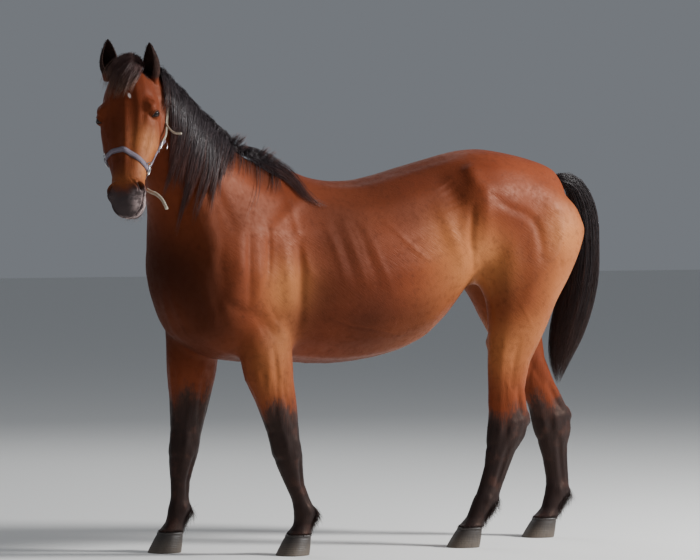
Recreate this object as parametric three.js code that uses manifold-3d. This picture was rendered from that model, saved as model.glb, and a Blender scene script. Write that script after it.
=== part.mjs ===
// A standing horse, life size, head turned to its left, wearing a webbing halter.
// Millimetres; +X towards the tail, -Y the horse's left side, +Z up, soles at Z = 0.
import * as THREE from 'three';
import { mergeVertices } from 'three/addons/utils/BufferGeometryUtils.js';
import Module from 'manifold-3d';

const wasm = await Module();
wasm.setup();
const { Manifold, Mesh: RawMesh } = wasm;

// ---- driving dimensions ----
const GAP = 0.4; // clearance between neighbouring pieces
const WITHERS = 1600; // height at the withers
const CROUP = 1667; // height at the croup
const BACK = 1530; // lowest point of the back
const CHEST_FLOOR = 768; // underside of the chest
const BARREL_HALF = 310; // half width of the barrel
const HIP_HALF = 285; // half width at the hips
const POLL = [-1275, -200, 1998]; // top of the head between the ears
const HEAD_HEADING = 50; // degrees the head points left of straight ahead
const FACE_TILT = 27; // degrees the face leans from the vertical
const HEAD_ROLL = 7.5; // degrees the muzzle swings to the left in the plane of the face
const SKULL_LENGTH = 645;
const EAR_LENGTH = 160;
const EYE_RADIUS = 21;
const FORE_HEADING = 15; // degrees the forelegs point left
const HIND_HEADING = -6;
const CORONET = 84; // height of the hoof's upper edge
const ELBOW_CUT = 885; // a foreleg's own node starts below this height
const STIFLE_CUT = 1010; // a hind leg's own node starts below this height
const WEBBING = 4; // thickness of the halter straps
const STRAP_LIFT = 1; // clearance under the straps
const MANE_DEPTH = 22; // thickness of the mane on the neck

// ---- looks ----
const paint = (color, roughness, metalness = 0) =>
  new THREE.MeshStandardMaterial({ color, roughness, metalness });
const bayCoat = paint(0x8a4526, 0.45);
const blackPoints = paint(0x2b2322, 0.5);
const horn = paint(0x3a332e, 0.55);
const hair = paint(0x2a2228, 0.5);
const eyeball = paint(0x140d0a, 0.08);
const webbing = paint(0x8f86a8, 0.75);
const paleStrap = paint(0xd6c9ae, 0.8);
const metal = paint(0xb9b9bd, 0.3, 1);

const group = new THREE.Group();
group.name = 'horse';

// ---- small helpers ----
const rad = THREE.MathUtils.degToRad;
const point = (array) => new THREE.Vector3(...array);

// Value at t of a smooth curve through evenly numbered rows of numbers.
function sampleRows(rows, t) {
  const last = rows.length - 1;
  const i = Math.min(Math.floor(t), last - 1);
  const f = t - i;
  const row = (k) => rows[Math.min(Math.max(k, 0), last)];
  return rows[0].map((_, c) => {
    const [a, b, d, e] = [row(i - 1)[c], row(i)[c], row(i + 1)[c], row(i + 2)[c]];
    return 0.5 * (2 * b + (d - a) * f + (2 * a - 5 * b + 4 * d - e) * f * f
      + (3 * b - a - 3 * d + e) * f * f * f);
  });
}

// Value of the other columns where the first column, which falls or rises, equals x.
function lookUp(rows, x) {
  const falling = rows[0][0] > rows[rows.length - 1][0];
  let low = 0;
  let high = rows.length - 1;
  for (let n = 0; n < 30; n += 1) {
    const mid = (low + high) / 2;
    const before = sampleRows(rows, mid)[0] < x;
    if (before === falling) high = mid;
    else low = mid;
  }
  return sampleRows(rows, (low + high) / 2);
}

// The triangles, all turned over if they enclose the solid from the wrong side.
function facesOut(positions, index) {
  const corner = (i) => new THREE.Vector3().fromArray(positions, 3 * i);
  let volume = 0;
  for (let i = 0; i < index.length; i += 3) {
    volume += corner(index[i]).dot(corner(index[i + 1]).cross(corner(index[i + 2])));
  }
  return volume > 0 ? index : index.reverse();
}

// A closed three.js geometry as a solid that can be joined and cut.
function solidOf(geometry) {
  geometry.deleteAttribute('normal');
  geometry.deleteAttribute('uv');
  const { attributes, index } = mergeVertices(geometry);
  return new Manifold(new RawMesh({
    numProp: 3,
    vertProperties: Float32Array.from(attributes.position.array),
    triVerts: Uint32Array.from(index.array),
  }));
}

// A closed skin over rings of points that share one count, pinched shut at both ends.
function skinOver(rings) {
  const sides = rings[0].length;
  const positions = rings.flat().flatMap((p) => [p.x, p.y, p.z]);
  const index = [];
  for (let r = 0; r + 1 < rings.length; r += 1) {
    for (let s = 0; s < sides; s += 1) {
      const a = r * sides + s;
      const b = r * sides + (s + 1) % sides;
      index.push(a, b, b + sides, a, b + sides, a + sides);
    }
  }
  [0, rings.length - 1].forEach((r, end) => {
    const middle = new THREE.Vector3();
    rings[r].forEach((p) => middle.addScaledVector(p, 1 / sides));
    const hub = positions.length / 3;
    positions.push(middle.x, middle.y, middle.z);
    for (let s = 0; s < sides; s += 1) {
      const a = r * sides + s;
      const b = r * sides + (s + 1) % sides;
      if (end) index.push(a, b, hub);
      else index.push(b, a, hub);
    }
  });
  const geometry = new THREE.BufferGeometry();
  geometry.setAttribute('position', new THREE.Float32BufferAttribute(positions, 3));
  geometry.setIndex(facesOut(positions, index));
  return geometry;
}

// One ring: a rounded outline, `up` above and `down` below its widest line.
function ring({ centre, side, rise, half, up, down, roof = 1, keel = 1 }, sides) {
  return Array.from({ length: sides }, (_, i) => {
    const angle = (2 * Math.PI * i) / sides;
    const c = Math.cos(angle);
    const s = Math.sin(angle);
    const reach = half * Math.sign(c) * Math.abs(c) ** (s > 0 ? roof : keel);
    return centre.clone().addScaledVector(side, reach).addScaledVector(rise, s * (s > 0 ? up : down));
  });
}

// Where a piece goes that is turned about X, then Y, then Z, in degrees.
function placed(at, turn) {
  const [x, y, z] = turn.map(rad);
  return new THREE.Matrix4().makeRotationFromEuler(new THREE.Euler(x, y, z, 'ZYX')).setPosition(...at);
}

const ball = (at, radii, turn = [0, 0, 0], [around, down] = [8, 5]) =>
  new THREE.SphereGeometry(1, around, down).scale(...radii).applyMatrix4(placed(at, turn));

// A piece is one body: crumbs that a cut leaves beside it are dropped.
const mainBody = (solid) => solid.decompose().sort((a, b) => b.volume() - a.volume())[0];

function add(name, material, solid) {
  const mesh = mainBody(solid).getMesh();
  const geometry = new THREE.BufferGeometry();
  geometry.setAttribute('position', new THREE.BufferAttribute(new Float32Array(mesh.vertProperties), 3));
  geometry.setIndex(new THREE.BufferAttribute(new Uint32Array(mesh.triVerts), 1));
  geometry.computeVertexNormals();
  const piece = new THREE.Mesh(geometry, material);
  piece.name = name;
  group.add(piece);
}

// ---- trunk and neck ----
// The spine seen from above: the forehand swings to the left.
const SPINE = [
  [900, -55], [600, -22], [300, 0], [0, 10], [-300, 8], [-550, -8],
  [-750, -42], [-900, -80], [-1050, -125], [-1200, -178], [-1350, -240],
];

function spineAt(x) {
  const [, y] = lookUp(SPINE, x);
  const [, ahead] = lookUp(SPINE, x - 20);
  const slope = (y - ahead) / 20;
  const along = new THREE.Vector3(1, slope, 0).normalize();
  return { y, along, side: new THREE.Vector3(-along.y, along.x, 0) };
}

// Top x, top z, bottom x, bottom z, half width, height of the widest line, roof, keel.
const BODY = [
  [800, 1540, 790, 1290, 72, 0.5, 1, 1],
  [770, 1574, 760, 1200, 126, 0.5, 1, 1],
  [700, 1608, 690, 1100, 184, 0.52, 1, 1],
  [600, CROUP - 31, 600, 1030, 228, 0.55, 1, 1],
  [500, CROUP - 12, 500, 1075, 262, 0.54, 0.95, 1],
  [400, CROUP, 400, 1095, 280, 0.54, 0.95, 1],
  [300, CROUP - 12, 300, 1046, HIP_HALF, 0.55, 0.9, 0.9],
  [200, 1630, 200, 902, 272, 0.5, 0.95, 0.9],
  [100, 1604, 100, 838, 285, 0.46, 0.95, 0.95],
  [0, 1577, 0, 803, 302, 0.46, 0.95, 0.95],
  [-110, 1546, -110, 783, BARREL_HALF, 0.47, 0.95, 0.95],
  [-220, BACK, -220, CHEST_FLOOR + 3, BARREL_HALF, 0.47, 1, 0.95],
  [-330, BACK + 8, -330, CHEST_FLOOR, 302, 0.47, 1.05, 0.95],
  [-420, 1562, -425, CHEST_FLOOR + 8, 288, 0.46, 1.2, 0.9],
  [-500, WITHERS, -530, CHEST_FLOOR + 16, 276, 0.44, 1.4, 0.85],
  [-590, WITHERS + 6, -650, CHEST_FLOOR + 18, 272, 0.42, 1.45, 0.8],
  [-660, 1628, -790, 788, 272, 0.4, 1.5, 0.8],
  [-720, 1662, -955, 850, 268, 0.38, 1.5, 0.8],
  [-780, 1708, -1040, 985, 240, 0.34, 1.4, 0.85],
  [-845, 1766, -1080, 1140, 190, 0.36, 1.35, 0.95],
  [-910, 1828, -1098, 1280, 150, 0.42, 1.3, 1],
  [-980, 1885, -1118, 1400, 128, 0.45, 1.25, 1],
  [-1050, 1935, -1148, 1500, 114, 0.47, 1.2, 1],
  [-1120, 1972, -1185, 1585, 98, 0.5, 1.15, 1],
  [-1185, 1978, -1235, 1650, 86, 0.5, 1.1, 1],
];
const TORSO_RINGS = 26;
const TORSO_SIDES = 16;

function torso(grow) {
  return solidOf(skinOver(Array.from({ length: TORSO_RINGS }, (_, i) => {
    const t = (i * (BODY.length - 1)) / (TORSO_RINGS - 1);
    const [tx, tz, bx, bz, half, wide, roof, keel] = sampleRows(BODY, t);
    const { y, along, side } = spineAt(tx + (bx - tx) * (1 - wide));
    const rise = along.clone().multiplyScalar(tx - bx);
    rise.z = tz - bz;
    const height = rise.length();
    const top = new THREE.Vector3(0, y, tz).addScaledVector(along, (tx - bx) * (1 - wide));
    top.x += tx + (bx - tx) * (1 - wide);
    rise.normalize();
    const centre = top.clone().addScaledVector(rise, -height * (1 - wide));
    const end = i === 0 ? grow : i === TORSO_RINGS - 1 ? -grow : 0;
    centre.addScaledVector(along, end);
    return ring({
      centre, side, rise, roof, keel,
      half: half + grow,
      up: height * (1 - wide) + grow,
      down: height * wide + grow,
    }, TORSO_SIDES);
  })));
}

// ---- head, in its own frame: s down the face, n out of the face, w to the left ----
const heading = new THREE.Vector3(-Math.cos(rad(HEAD_HEADING)), -Math.sin(rad(HEAD_HEADING)), 0);
const faceOut = heading.clone().multiplyScalar(Math.cos(rad(FACE_TILT)));
faceOut.z = Math.sin(rad(FACE_TILT));
const headLeft = new THREE.Vector3(-heading.y, heading.x, 0).applyAxisAngle(faceOut, rad(HEAD_ROLL));
const faceDown = headLeft.clone().cross(faceOut);
const headFrame = new THREE.Matrix4().makeBasis(faceDown, headLeft, faceOut).setPosition(...POLL);
const onHead = (geometry) => solidOf(geometry.applyMatrix4(headFrame));

// Distance from the poll, face line, underside, half width, height of the widest line, roof, keel.
const SKULL = [
  [-18, -40, -120, 42, 0.5, 1, 1],
  [8, -14, -175, 72, 0.55, 1, 1],
  [60, 2, -232, 94, 0.62, 0.9, 1.1],
  [115, 8, -272, 107, 0.68, 0.8, 1.15],
  [165, 8, -292, 116, 0.74, 0.75, 1.15],
  [212, 4, -296, 119, 0.76, 0.78, 1.15],
  [262, -2, -280, 119, 0.7, 0.85, 1.05],
  [312, -6, -242, 113, 0.64, 0.92, 0.9],
  [362, -8, -200, 101, 0.6, 0.95, 0.85],
  [412, -7, -166, 85, 0.57, 0.92, 0.85],
  [462, -4, -144, 70, 0.56, 0.9, 0.85],
  [512, -2, -136, 65, 0.56, 0.85, 0.85],
  [556, -6, -137, 69, 0.56, 0.8, 0.85],
  [592, -16, -138, 69, 0.5, 0.8, 0.85],
  [622, -34, -130, 57, 0.5, 0.85, 0.9],
  [SKULL_LENGTH, -62, -108, 30, 0.5, 1, 1],
];
const SKULL_RINGS = 18;
const SKULL_SIDES = 16;

function skull(grow) {
  return skinOver(Array.from({ length: SKULL_RINGS }, (_, i) => {
    const t = (i * (SKULL.length - 1)) / (SKULL_RINGS - 1);
    const [s, face, under, half, wide, roof, keel] = sampleRows(SKULL, t);
    const end = i === 0 ? -grow : i === SKULL_RINGS - 1 ? grow : 0;
    return ring({
      centre: new THREE.Vector3(s + end, 0, under + (face - under) * wide),
      side: new THREE.Vector3(0, 1, 0),
      rise: new THREE.Vector3(0, 0, 1),
      roof, keel,
      half: half + grow,
      up: (face - under) * (1 - wide) + grow,
      down: (face - under) * wide + grow,
    }, SKULL_SIDES);
  }));
}

// Bosses of the head as [s, w, n] and radii; those off the middle come in pairs.
const EYE_AT = [216, 108, -50];
const BOSSES = [
  { at: [204, 80, -190], radii: [108, 48, 100] }, // cheek
  { at: [184, 92, -34], radii: [42, 34, 30] }, // brow over the eye
  { at: [290, 99, -104], radii: [78, 15, 22] }, // facial crest
  { at: [556, 52, -42], radii: [42, 28, 38] }, // nostril rim
  { at: [604, 0, -118], radii: [38, 46, 32] }, // chin
];
const bossRadii = (radii, grow) => radii.map((r) => r + grow);

function head(grow) {
  const bosses = BOSSES.flatMap(({ at: [s, w, n], radii }) =>
    (w ? [1, -1] : [1]).map((hand) => ball([s, hand * w, n], bossRadii(radii, grow))));
  return Manifold.union([skull(grow), ...bosses].map(onHead));
}

const eyeBall = (hand, grow) => {
  const [s, w, n] = EYE_AT;
  const radius = EYE_RADIUS + grow;
  return onHead(ball([s, hand * w, n], [radius, radius, radius], [0, 0, 0], [8, 6]));
};
const nostril = (hand) =>
  onHead(ball([552, hand * 66, -16], [27, 14, 16], [hand * -30, 16, hand * 10]));

// ---- legs ----
// Height, half depth, half width, all down one leg.
const FORE_PROFILE = [
  [1120, 110, 60], [980, 145, 92], [850, 130, 90], [720, 110, 80], [630, 90, 70], [545, 79, 60],
  [475, 68, 56], [412, 65, 60], [350, 54, 48], [290, 45, 35], [230, 42, 33],
  [172, 50, 41], [124, 41, 38], [CORONET, 53, 51],
];
const HIND_PROFILE = [
  [1520, 150, 70], [1420, 235, 105], [1320, 262, 118], [1230, 248, 122], [1170, 236, 120],
  [1100, 205, 114], [1020, 161, 106], [940, 142, 92], [880, 127, 82], [770, 96, 66],
  [650, 82, 50], [575, 88, 45], [520, 93, 50], [460, 86, 48], [395, 67, 39],
  [335, 57, 34], [250, 52, 33], [190, 55, 41], [125, 43, 38], [CORONET, 54, 51],
];
// Height, x and y of a leg's axis from its top down to the coronet.
const AXES = {
  foreleg_left: [
    [1120, -690, -150], [980, -675, -178], [850, -657, -198], [720, -640, -202], [630, -612, -203],
    [520, -582, -203], [412, -559, -203], [290, -525, -202], [172, -478, -201], [CORONET, -506, -200],
  ],
  foreleg_right: [
    [1120, -850, 92], [980, -838, 112], [850, -832, 130], [720, -836, 138], [630, -843, 142],
    [520, -853, 145], [412, -868, 146], [290, -882, 146], [172, -888, 146], [CORONET, -926, 145],
  ],
  hindleg_left: [
    [1520, 560, -130], [1320, 592, -150], [1170, 553, -168], [1020, 535, -182], [880, 505, -188],
    [770, 474, -188], [650, 464, -184], [520, 474, -182], [460, 461, -182], [395, 437, -182],
    [335, 421, -182], [190, 364, -182], [CORONET, 296, -182],
  ],
  hindleg_right: [
    [1520, 560, 70], [1320, 600, 92], [1170, 590, 104], [1020, 612, 110], [880, 660, 112],
    [770, 706, 112], [650, 776, 112], [520, 834, 112], [460, 842, 112], [395, 848, 112],
    [335, 858, 112], [190, 868, 112], [CORONET, 810, 112],
  ],
};
const LEG_SIDES = 12;

function limb(name) {
  const fore = name.startsWith('fore');
  const profile = fore ? FORE_PROFILE : HIND_PROFILE;
  const turn = rad(fore ? FORE_HEADING : HIND_HEADING);
  const along = new THREE.Vector3(Math.cos(turn), Math.sin(turn), 0);
  const across = new THREE.Vector3(-along.y, along.x, 0);
  return solidOf(skinOver(profile.map(([z, depth, width]) => {
    const [, x, y] = lookUp(AXES[name], z);
    return ring({
      centre: new THREE.Vector3(x, y, z), side: along, rise: across,
      half: depth, up: width, down: width, roof: 0.95, keel: 0.95,
    }, LEG_SIDES);
  })));
}

// Height, half length, half width and forward lean of a hoof wall.
const HOOF = [[CORONET - GAP, 51, 50, 0], [60, 57, 54, 10], [25, 66, 60, 24], [0, 71, 63, 34]];

function hoof(name) {
  const turn = rad(name.startsWith('fore') ? FORE_HEADING : HIND_HEADING);
  const along = new THREE.Vector3(Math.cos(turn), Math.sin(turn), 0);
  const across = new THREE.Vector3(-along.y, along.x, 0);
  const [, x, y] = AXES[name][AXES[name].length - 1];
  return solidOf(skinOver(HOOF.map(([z, length, width, lean]) => ring({
    centre: new THREE.Vector3(x, y, z).addScaledVector(along, -lean),
    side: along, rise: across, half: length, up: width, down: width, roof: 0.85, keel: 0.85,
  }, LEG_SIDES))));
}

// ---- long hair ----
// Points down the middle of the tail: x, y, z, half thickness, half width.
const TAIL = [
  [735, -50, 1525, 26, 38], [790, -52, 1536, 34, 42], [852, -44, 1512, 44, 46], [902, -24, 1445, 56, 52],
  [938, 6, 1360, 64, 60], [952, 30, 1250, 66, 70], [950, 52, 1130, 76, 86], [934, 76, 1010, 78, 94],
  [908, 98, 890, 72, 92], [884, 116, 780, 50, 68], [878, 124, 700, 26, 36], [880, 128, 650, 6, 8],
];
const TAIL_SIDES = 12;

function tailHair(grow = 0) {
  return solidOf(skinOver(TAIL.map(([x, y, z, thick, wide], i) => {
    const before = point(TAIL[Math.max(i - 1, 0)]);
    const after = point(TAIL[Math.min(i + 1, TAIL.length - 1)]);
    const along = after.sub(before).normalize();
    const side = new THREE.Vector3(0, 1, 0).cross(along).normalize();
    const across = along.clone().cross(side);
    return ring({
      centre: new THREE.Vector3(x, y, z), side, rise: across,
      half: thick + grow, up: wide + grow, down: wide + grow,
    }, TAIL_SIDES);
  })));
}

// The mane lies on the left of the neck: x and z of its edge, crest first, locks last.
const MANE_EDGE = [
  [-1215, 2040], [-1100, 2020], [-960, 1925], [-840, 1815], [-740, 1715], [-660, 1665], [-520, 1640],
  [-500, 1585], [-560, 1590], [-600, 1480], [-650, 1560], [-690, 1400], [-740, 1520], [-800, 1390],
  [-850, 1500], [-905, 1400], [-940, 1540], [-1000, 1480], [-1040, 1640], [-1110, 1680], [-1150, 1830],
];

const MANE_REACH = 420;
const MANE_PARTING = 14; // how far the mane's root crosses to the right of the crest

function mane() {
  const outline = new THREE.Shape(MANE_EDGE.map(([x, z]) => new THREE.Vector2(x, z)));
  const slab = new THREE.ExtrudeGeometry(outline, { depth: MANE_REACH, bevelEnabled: false });
  slab.rotateX(Math.PI / 2);
  const { position } = slab.attributes;
  for (let i = 0; i < position.count; i += 1) {
    position.setY(i, position.getY(i) + lookUp(SPINE, position.getX(i))[1] + MANE_PARTING);
  }
  return torso(MANE_DEPTH).intersect(solidOf(slab));
}

// Forelock: points between the ears and over the forehead, in the head's frame, with half sizes.
const FORELOCK = [
  [-28, 6, -6, 12, 34], [0, 4, 12, 20, 44], [36, -4, 22, 20, 46], [76, -16, 24, 15, 36],
  [112, -30, 20, 9, 20], [140, -40, 15, 4, 7],
];

function forelock(grow = 0) {
  return onHead(skinOver(FORELOCK.map(([s, w, n, thick, wide]) => ring({
    centre: new THREE.Vector3(s, w, n),
    side: new THREE.Vector3(0, 1, 0),
    rise: new THREE.Vector3(0, 0, 1),
    half: wide + grow, up: thick + grow, down: thick + grow,
  }, 12))));
}

// ---- ears ----
const EAR_ROWS = [[0, 0.62], [0.2, 0.9], [0.42, 1], [0.68, 0.76], [0.88, 0.38], [1, 0.08]];
const EAR_HALF = 38;

function earBlade(scale, lift, forward, grow = 0) {
  return skinOver(EAR_ROWS.map(([part, width]) => ring({
    centre: new THREE.Vector3(forward - 6 * part, 0, lift + part * EAR_LENGTH),
    side: new THREE.Vector3(0, 1, 0),
    rise: new THREE.Vector3(1, 0, 0),
    half: EAR_HALF * width * scale + grow,
    up: EAR_HALF * width * scale * 0.8 + grow,
    down: EAR_HALF * width * scale * 0.8 + grow,
  }, 10)));
}

// Built upright and opening towards -X, then turned and set on the head.
function setEar(hand, geometry) {
  const root = point([22 + hand * 20, hand * 89, -98]).applyMatrix4(headFrame);
  return solidOf(geometry
    .applyMatrix4(placed([0, 0, 0], [hand * 5, -6, -hand * 28]))
    .rotateZ(rad(HEAD_HEADING))
    .translate(...root));
}

const ear = (hand) => setEar(hand, earBlade(1, 0, 0)).subtract(setEar(hand, earBlade(0.82, 26, -12)));
const earRoom = (hand) => setEar(hand, earBlade(1, 0, 0, GAP));

// ---- halter ----
const STRAP_WIDTH = 24;
const STRAP_REACH = 80; // how deep a strap's cutting box is, across the head's surface
const HEAD_AXIS = -90; // n of the line that the straps go round
const CROWN_REACH = 400;

// A strap over points [s, w, n] that lie near the head's surface.
function strapRoute(points, width) {
  return Manifold.union(points.slice(1).map((next, i) => {
    const [from, to] = [point(points[i]), point(next)];
    const middle = from.clone().lerp(to, 0.5);
    const along = to.clone().sub(from);
    const box = new THREE.BoxGeometry(along.length() + width * 0.6, width, STRAP_REACH);
    along.normalize();
    const across = new THREE.Vector3(0, middle.y, middle.z - HEAD_AXIS).cross(along).normalize();
    const out = along.clone().cross(across);
    return onHead(box.applyMatrix4(new THREE.Matrix4().makeBasis(along, across, out).setPosition(middle)));
  }));
}

// A strap that goes straight across the head at [s, n] points seen from its side.
function strapBand(path, width) {
  return Manifold.union(path.slice(1).map(([s, n], i) => {
    const [s0, n0] = path[i];
    const length = Math.hypot(s - s0, n - n0);
    return onHead(new THREE.BoxGeometry(length + width * 0.6, CROWN_REACH, width)
      .rotateY(-Math.atan2(n - n0, s - s0))
      .translate((s + s0) / 2, 0, (n + n0) / 2));
  }));
}

// The noseband hangs lower on the left, so its rings are not level.
const RINGS_AT = { left: [450, 88, -94], right: [394, -103, -86] };
const NOSE_ROUTE = [
  RINGS_AT.right, [383, -94, -50], [381, -58, -12], [385, -10, -2], [407, 30, -6], [428, 58, -32],
  [444, 76, -68], RINGS_AT.left,
];
const JAW_ROUTE = [
  RINGS_AT.left, [462, 54, -140], [454, -20, -150], [412, -82, -136], RINGS_AT.right,
];
const CHEEK_ROUTES = {
  left: [RINGS_AT.left, [370, 104, -142], [300, 122, -172], [232, 126, -188]],
  right: [RINGS_AT.right, [350, -108, -134], [300, -122, -168], [232, -126, -188]],
};
const CROWN_PATH = [[216, -190], [110, -168], [30, -156], [-60, -150]];
const STRAPS = {
  halter_noseband: (width) => strapRoute(NOSE_ROUTE, width),
  halter_jaw_strap: (width) => strapRoute(JAW_ROUTE, width),
  halter_cheek_strap_left: (width) => strapRoute(CHEEK_ROUTES.left, width),
  halter_cheek_strap_right: (width) => strapRoute(CHEEK_ROUTES.right, width),
  halter_crown: (width) => strapBand(CROWN_PATH, width),
};

// The ring of round bar that joins the straps, flat against the side of the nose.
const RING_RADIUS = 17;
const RING_BAR = 3;
const noseRing = (side) =>
  onHead(new THREE.TorusGeometry(RING_RADIUS, RING_BAR, 4, 10).rotateX(Math.PI / 2).translate(...RINGS_AT[side]));

// A flat strap end that hangs free: points and half width, in the head's frame.
function looseEnd(points, width, thick) {
  return onHead(skinOver(points.map(([s, w, n], i) => {
    const before = point(points[Math.max(i - 1, 0)]);
    const after = point(points[Math.min(i + 1, points.length - 1)]);
    const along = after.sub(before).normalize();
    const side = along.clone().cross(new THREE.Vector3(0, 0, 1)).normalize();
    return ring({
      centre: new THREE.Vector3(s, w, n), side, rise: side.clone().cross(along),
      half: width, up: thick, down: thick, roof: 0.6, keel: 0.6,
    }, 8);
  })));
}
const CROWN_END = [[172, 114, -163], [206, 128, -158], [236, 146, -154], [258, 168, -150], [266, 196, -147]];
const crownEnd = (grow) => looseEnd(CROWN_END, 6 + grow, 2 + grow);
const LEAD_TAB = [[508, 56, -135], [522, 74, -132], [536, 98, -130], [562, 121, -130], [604, 140, -130]];

// ---- assembling the animal ----
const HANDS = [['left', 1], ['right', -1]];
const legs = Object.keys(AXES);
const limbs = Object.fromEntries(legs.map((name) => [name, limb(name)]));
const legCut = (name) => (name.startsWith('fore') ? ELBOW_CUT : STIFLE_CUT);
const upperLimbs = legs.map((name) => limbs[name].trimByPlane([0, 0, 1], legCut(name)));
const whole = Manifold.union([torso(0), ...upperLimbs]);

// What a neighbour must stay clear of.
const wrap = (lift) => Manifold.union([torso(lift), head(lift)]);
const headRoom = head(GAP);
const torsoRoom = torso(GAP);
const bodyRoom = wrap(GAP);
const strapTop = wrap(STRAP_LIFT + WEBBING + GAP);
const strapRoom = strapTop.intersect(
  Manifold.union(Object.values(STRAPS).map((strap) => strap(STRAP_WIDTH + 2 * GAP))));
const ears = HANDS.map(([, hand]) => ear(hand).subtract(bodyRoom));
const earRooms = HANDS.map(([, hand]) => earRoom(hand));
const sockets = HANDS.map(([, hand]) => eyeBall(hand, GAP));

// The neck parts from the trunk on a plane from the withers to the breast.
const neckNormal = new THREE.Vector3(-0.67, -0.17, 0.72).normalize();
const neckOffset = neckNormal.dot(point([-660, -20, 1630]));
const parting = (way) => [neckNormal.x, neckNormal.y, neckNormal.z].map((v) => way * v);

add('trunk', bayCoat, whole.trimByPlane(parting(-1), -neckOffset).subtract(tailHair(GAP)));
add('neck', bayCoat, whole.trimByPlane(parting(1), neckOffset + GAP).subtract(headRoom));
add('head', bayCoat, Manifold.difference([head(0), ...sockets, nostril(1), nostril(-1)]));
legs.forEach((name) => {
  const lower = limbs[name].trimByPlane([0, 0, -1], -(legCut(name) - GAP));
  add(name, blackPoints, lower.subtract(torsoRoom));
  add(name.replace('leg', '_hoof'), horn, hoof(name));
});
HANDS.forEach(([side, hand], i) => {
  add(`eye_${side}`, eyeball, eyeBall(hand, 0));
  add(`ear_${side}`, blackPoints, ears[i]);
});
add('tail', hair, tailHair());
add('mane', hair, Manifold.difference([
  mane(), bodyRoom, strapRoom, crownEnd(GAP), forelock(GAP), ...earRooms,
]));
add('forelock', hair, Manifold.difference([forelock(), bodyRoom, ...earRooms]));

// ---- dressing it in the halter ----
const strapShell = wrap(STRAP_LIFT + WEBBING).subtract(wrap(STRAP_LIFT));
let laid = Manifold.union([]);
Object.entries(STRAPS).forEach(([name, strap]) => {
  add(name, webbing, strapShell.intersect(strap(STRAP_WIDTH)).subtract(laid));
  laid = laid.add(strap(STRAP_WIDTH + 2 * GAP));
});
HANDS.forEach(([side]) => {
  add(`halter_ring_${side}`, metal, noseRing(side).subtract(strapTop));
});
add('halter_crown_end', paleStrap, crownEnd(0).subtract(strapTop));
add('halter_lead_tab', paleStrap, looseEnd(LEAD_TAB, 9, 3).subtract(strapTop));

const box = new THREE.Box3().setFromObject(group);
const centre = box.getCenter(new THREE.Vector3());
group.children.forEach((mesh) => mesh.geometry.translate(-centre.x, -centre.y, -box.min.z));

export default group;
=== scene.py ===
# Looks for the standing horse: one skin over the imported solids, long hair, hooves, eyes and a halter.
# Metres. +X towards the tail, -Y the horse's left side, +Z up.
import math

import bmesh
import bpy
import numpy as np
from mathutils import Matrix, Vector
from mathutils.bvhtree import BVHTree


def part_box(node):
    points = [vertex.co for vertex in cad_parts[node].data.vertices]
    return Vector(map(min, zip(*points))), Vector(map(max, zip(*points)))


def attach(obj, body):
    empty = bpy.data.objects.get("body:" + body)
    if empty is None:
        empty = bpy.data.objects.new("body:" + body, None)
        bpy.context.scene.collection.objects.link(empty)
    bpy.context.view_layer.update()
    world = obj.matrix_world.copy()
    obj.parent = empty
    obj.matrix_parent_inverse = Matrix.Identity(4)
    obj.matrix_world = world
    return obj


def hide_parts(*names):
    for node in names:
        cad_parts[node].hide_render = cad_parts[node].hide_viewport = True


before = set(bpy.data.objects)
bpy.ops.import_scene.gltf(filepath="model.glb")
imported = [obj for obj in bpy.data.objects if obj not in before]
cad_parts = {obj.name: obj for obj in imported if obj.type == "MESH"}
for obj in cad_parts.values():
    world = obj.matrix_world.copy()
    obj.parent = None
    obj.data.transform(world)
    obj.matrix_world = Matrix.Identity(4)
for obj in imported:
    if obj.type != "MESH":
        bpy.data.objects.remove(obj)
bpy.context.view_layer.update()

RANDOM = np.random.default_rng(11)

# ---- sizes, in metres ----
VOXEL = 0.0066  # grid of the remeshed skin
COAT_DEPTH = 0.0025  # the skin lies this far inside the solids
HAIR_SHARE = 1.0  # share of the hairs that is made
TINY = 1e-9

# ---- the head's own frame: s down the face, w to the left, n out of the face ----
HEAD_HEADING = math.radians(50)  # turned to the left from straight ahead
FACE_TILT = math.radians(27)  # how far above the level the face looks
HEAD_ROLL = math.radians(7.5)  # turned about the way the face looks
EYE_SPOT = (0.216, 0.108, -0.050)  # an eye, from the poll


def middle(node):
    low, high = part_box(node)
    return (low + high) / 2


heading = Vector((-math.cos(HEAD_HEADING), -math.sin(HEAD_HEADING), 0))
FACE_OUT = heading * math.cos(FACE_TILT) + Vector((0, 0, math.sin(FACE_TILT)))
HEAD_LEFT = Matrix.Rotation(HEAD_ROLL, 3, FACE_OUT) @ Vector((-heading.y, heading.x, 0))
FACE_DOWN = HEAD_LEFT.cross(FACE_OUT)
eyes_middle = (middle("eye_left") + middle("eye_right")) / 2
POLL = eyes_middle - FACE_DOWN * EYE_SPOT[0] - FACE_OUT * EYE_SPOT[2]
HEAD_AXES = np.array([FACE_DOWN, HEAD_LEFT, FACE_OUT])


def on_head(s, w, n):
    """A point of the head's frame, given in millimetres."""
    return POLL + (FACE_DOWN * s + HEAD_LEFT * w + FACE_OUT * n) / 1000


def head_coords(points):
    """Metres down the face, to the left and out of the face, for an array of points."""
    return (points - np.array(POLL)) @ HEAD_AXES.T


# ---- the camera ----
CAMERA_FROM_POLL = Vector((-6.758, -15.911, -0.398))
CAMERA_TURN = math.radians(26.0)  # from looking along +Y towards +X
CAMERA_PITCH = math.radians(1.55)  # downwards
PHOTO_WIDTH, PHOTO_HEIGHT = 700, 560
FOCAL_PIXELS = 4313
SENSOR = 36.0

camera_at = POLL + CAMERA_FROM_POLL
view_dir = Vector((math.sin(CAMERA_TURN) * math.cos(CAMERA_PITCH),
                   math.cos(CAMERA_TURN) * math.cos(CAMERA_PITCH), -math.sin(CAMERA_PITCH)))
view_right = Vector((math.cos(CAMERA_TURN), -math.sin(CAMERA_TURN), 0))
view_up = view_right.cross(view_dir)


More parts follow.
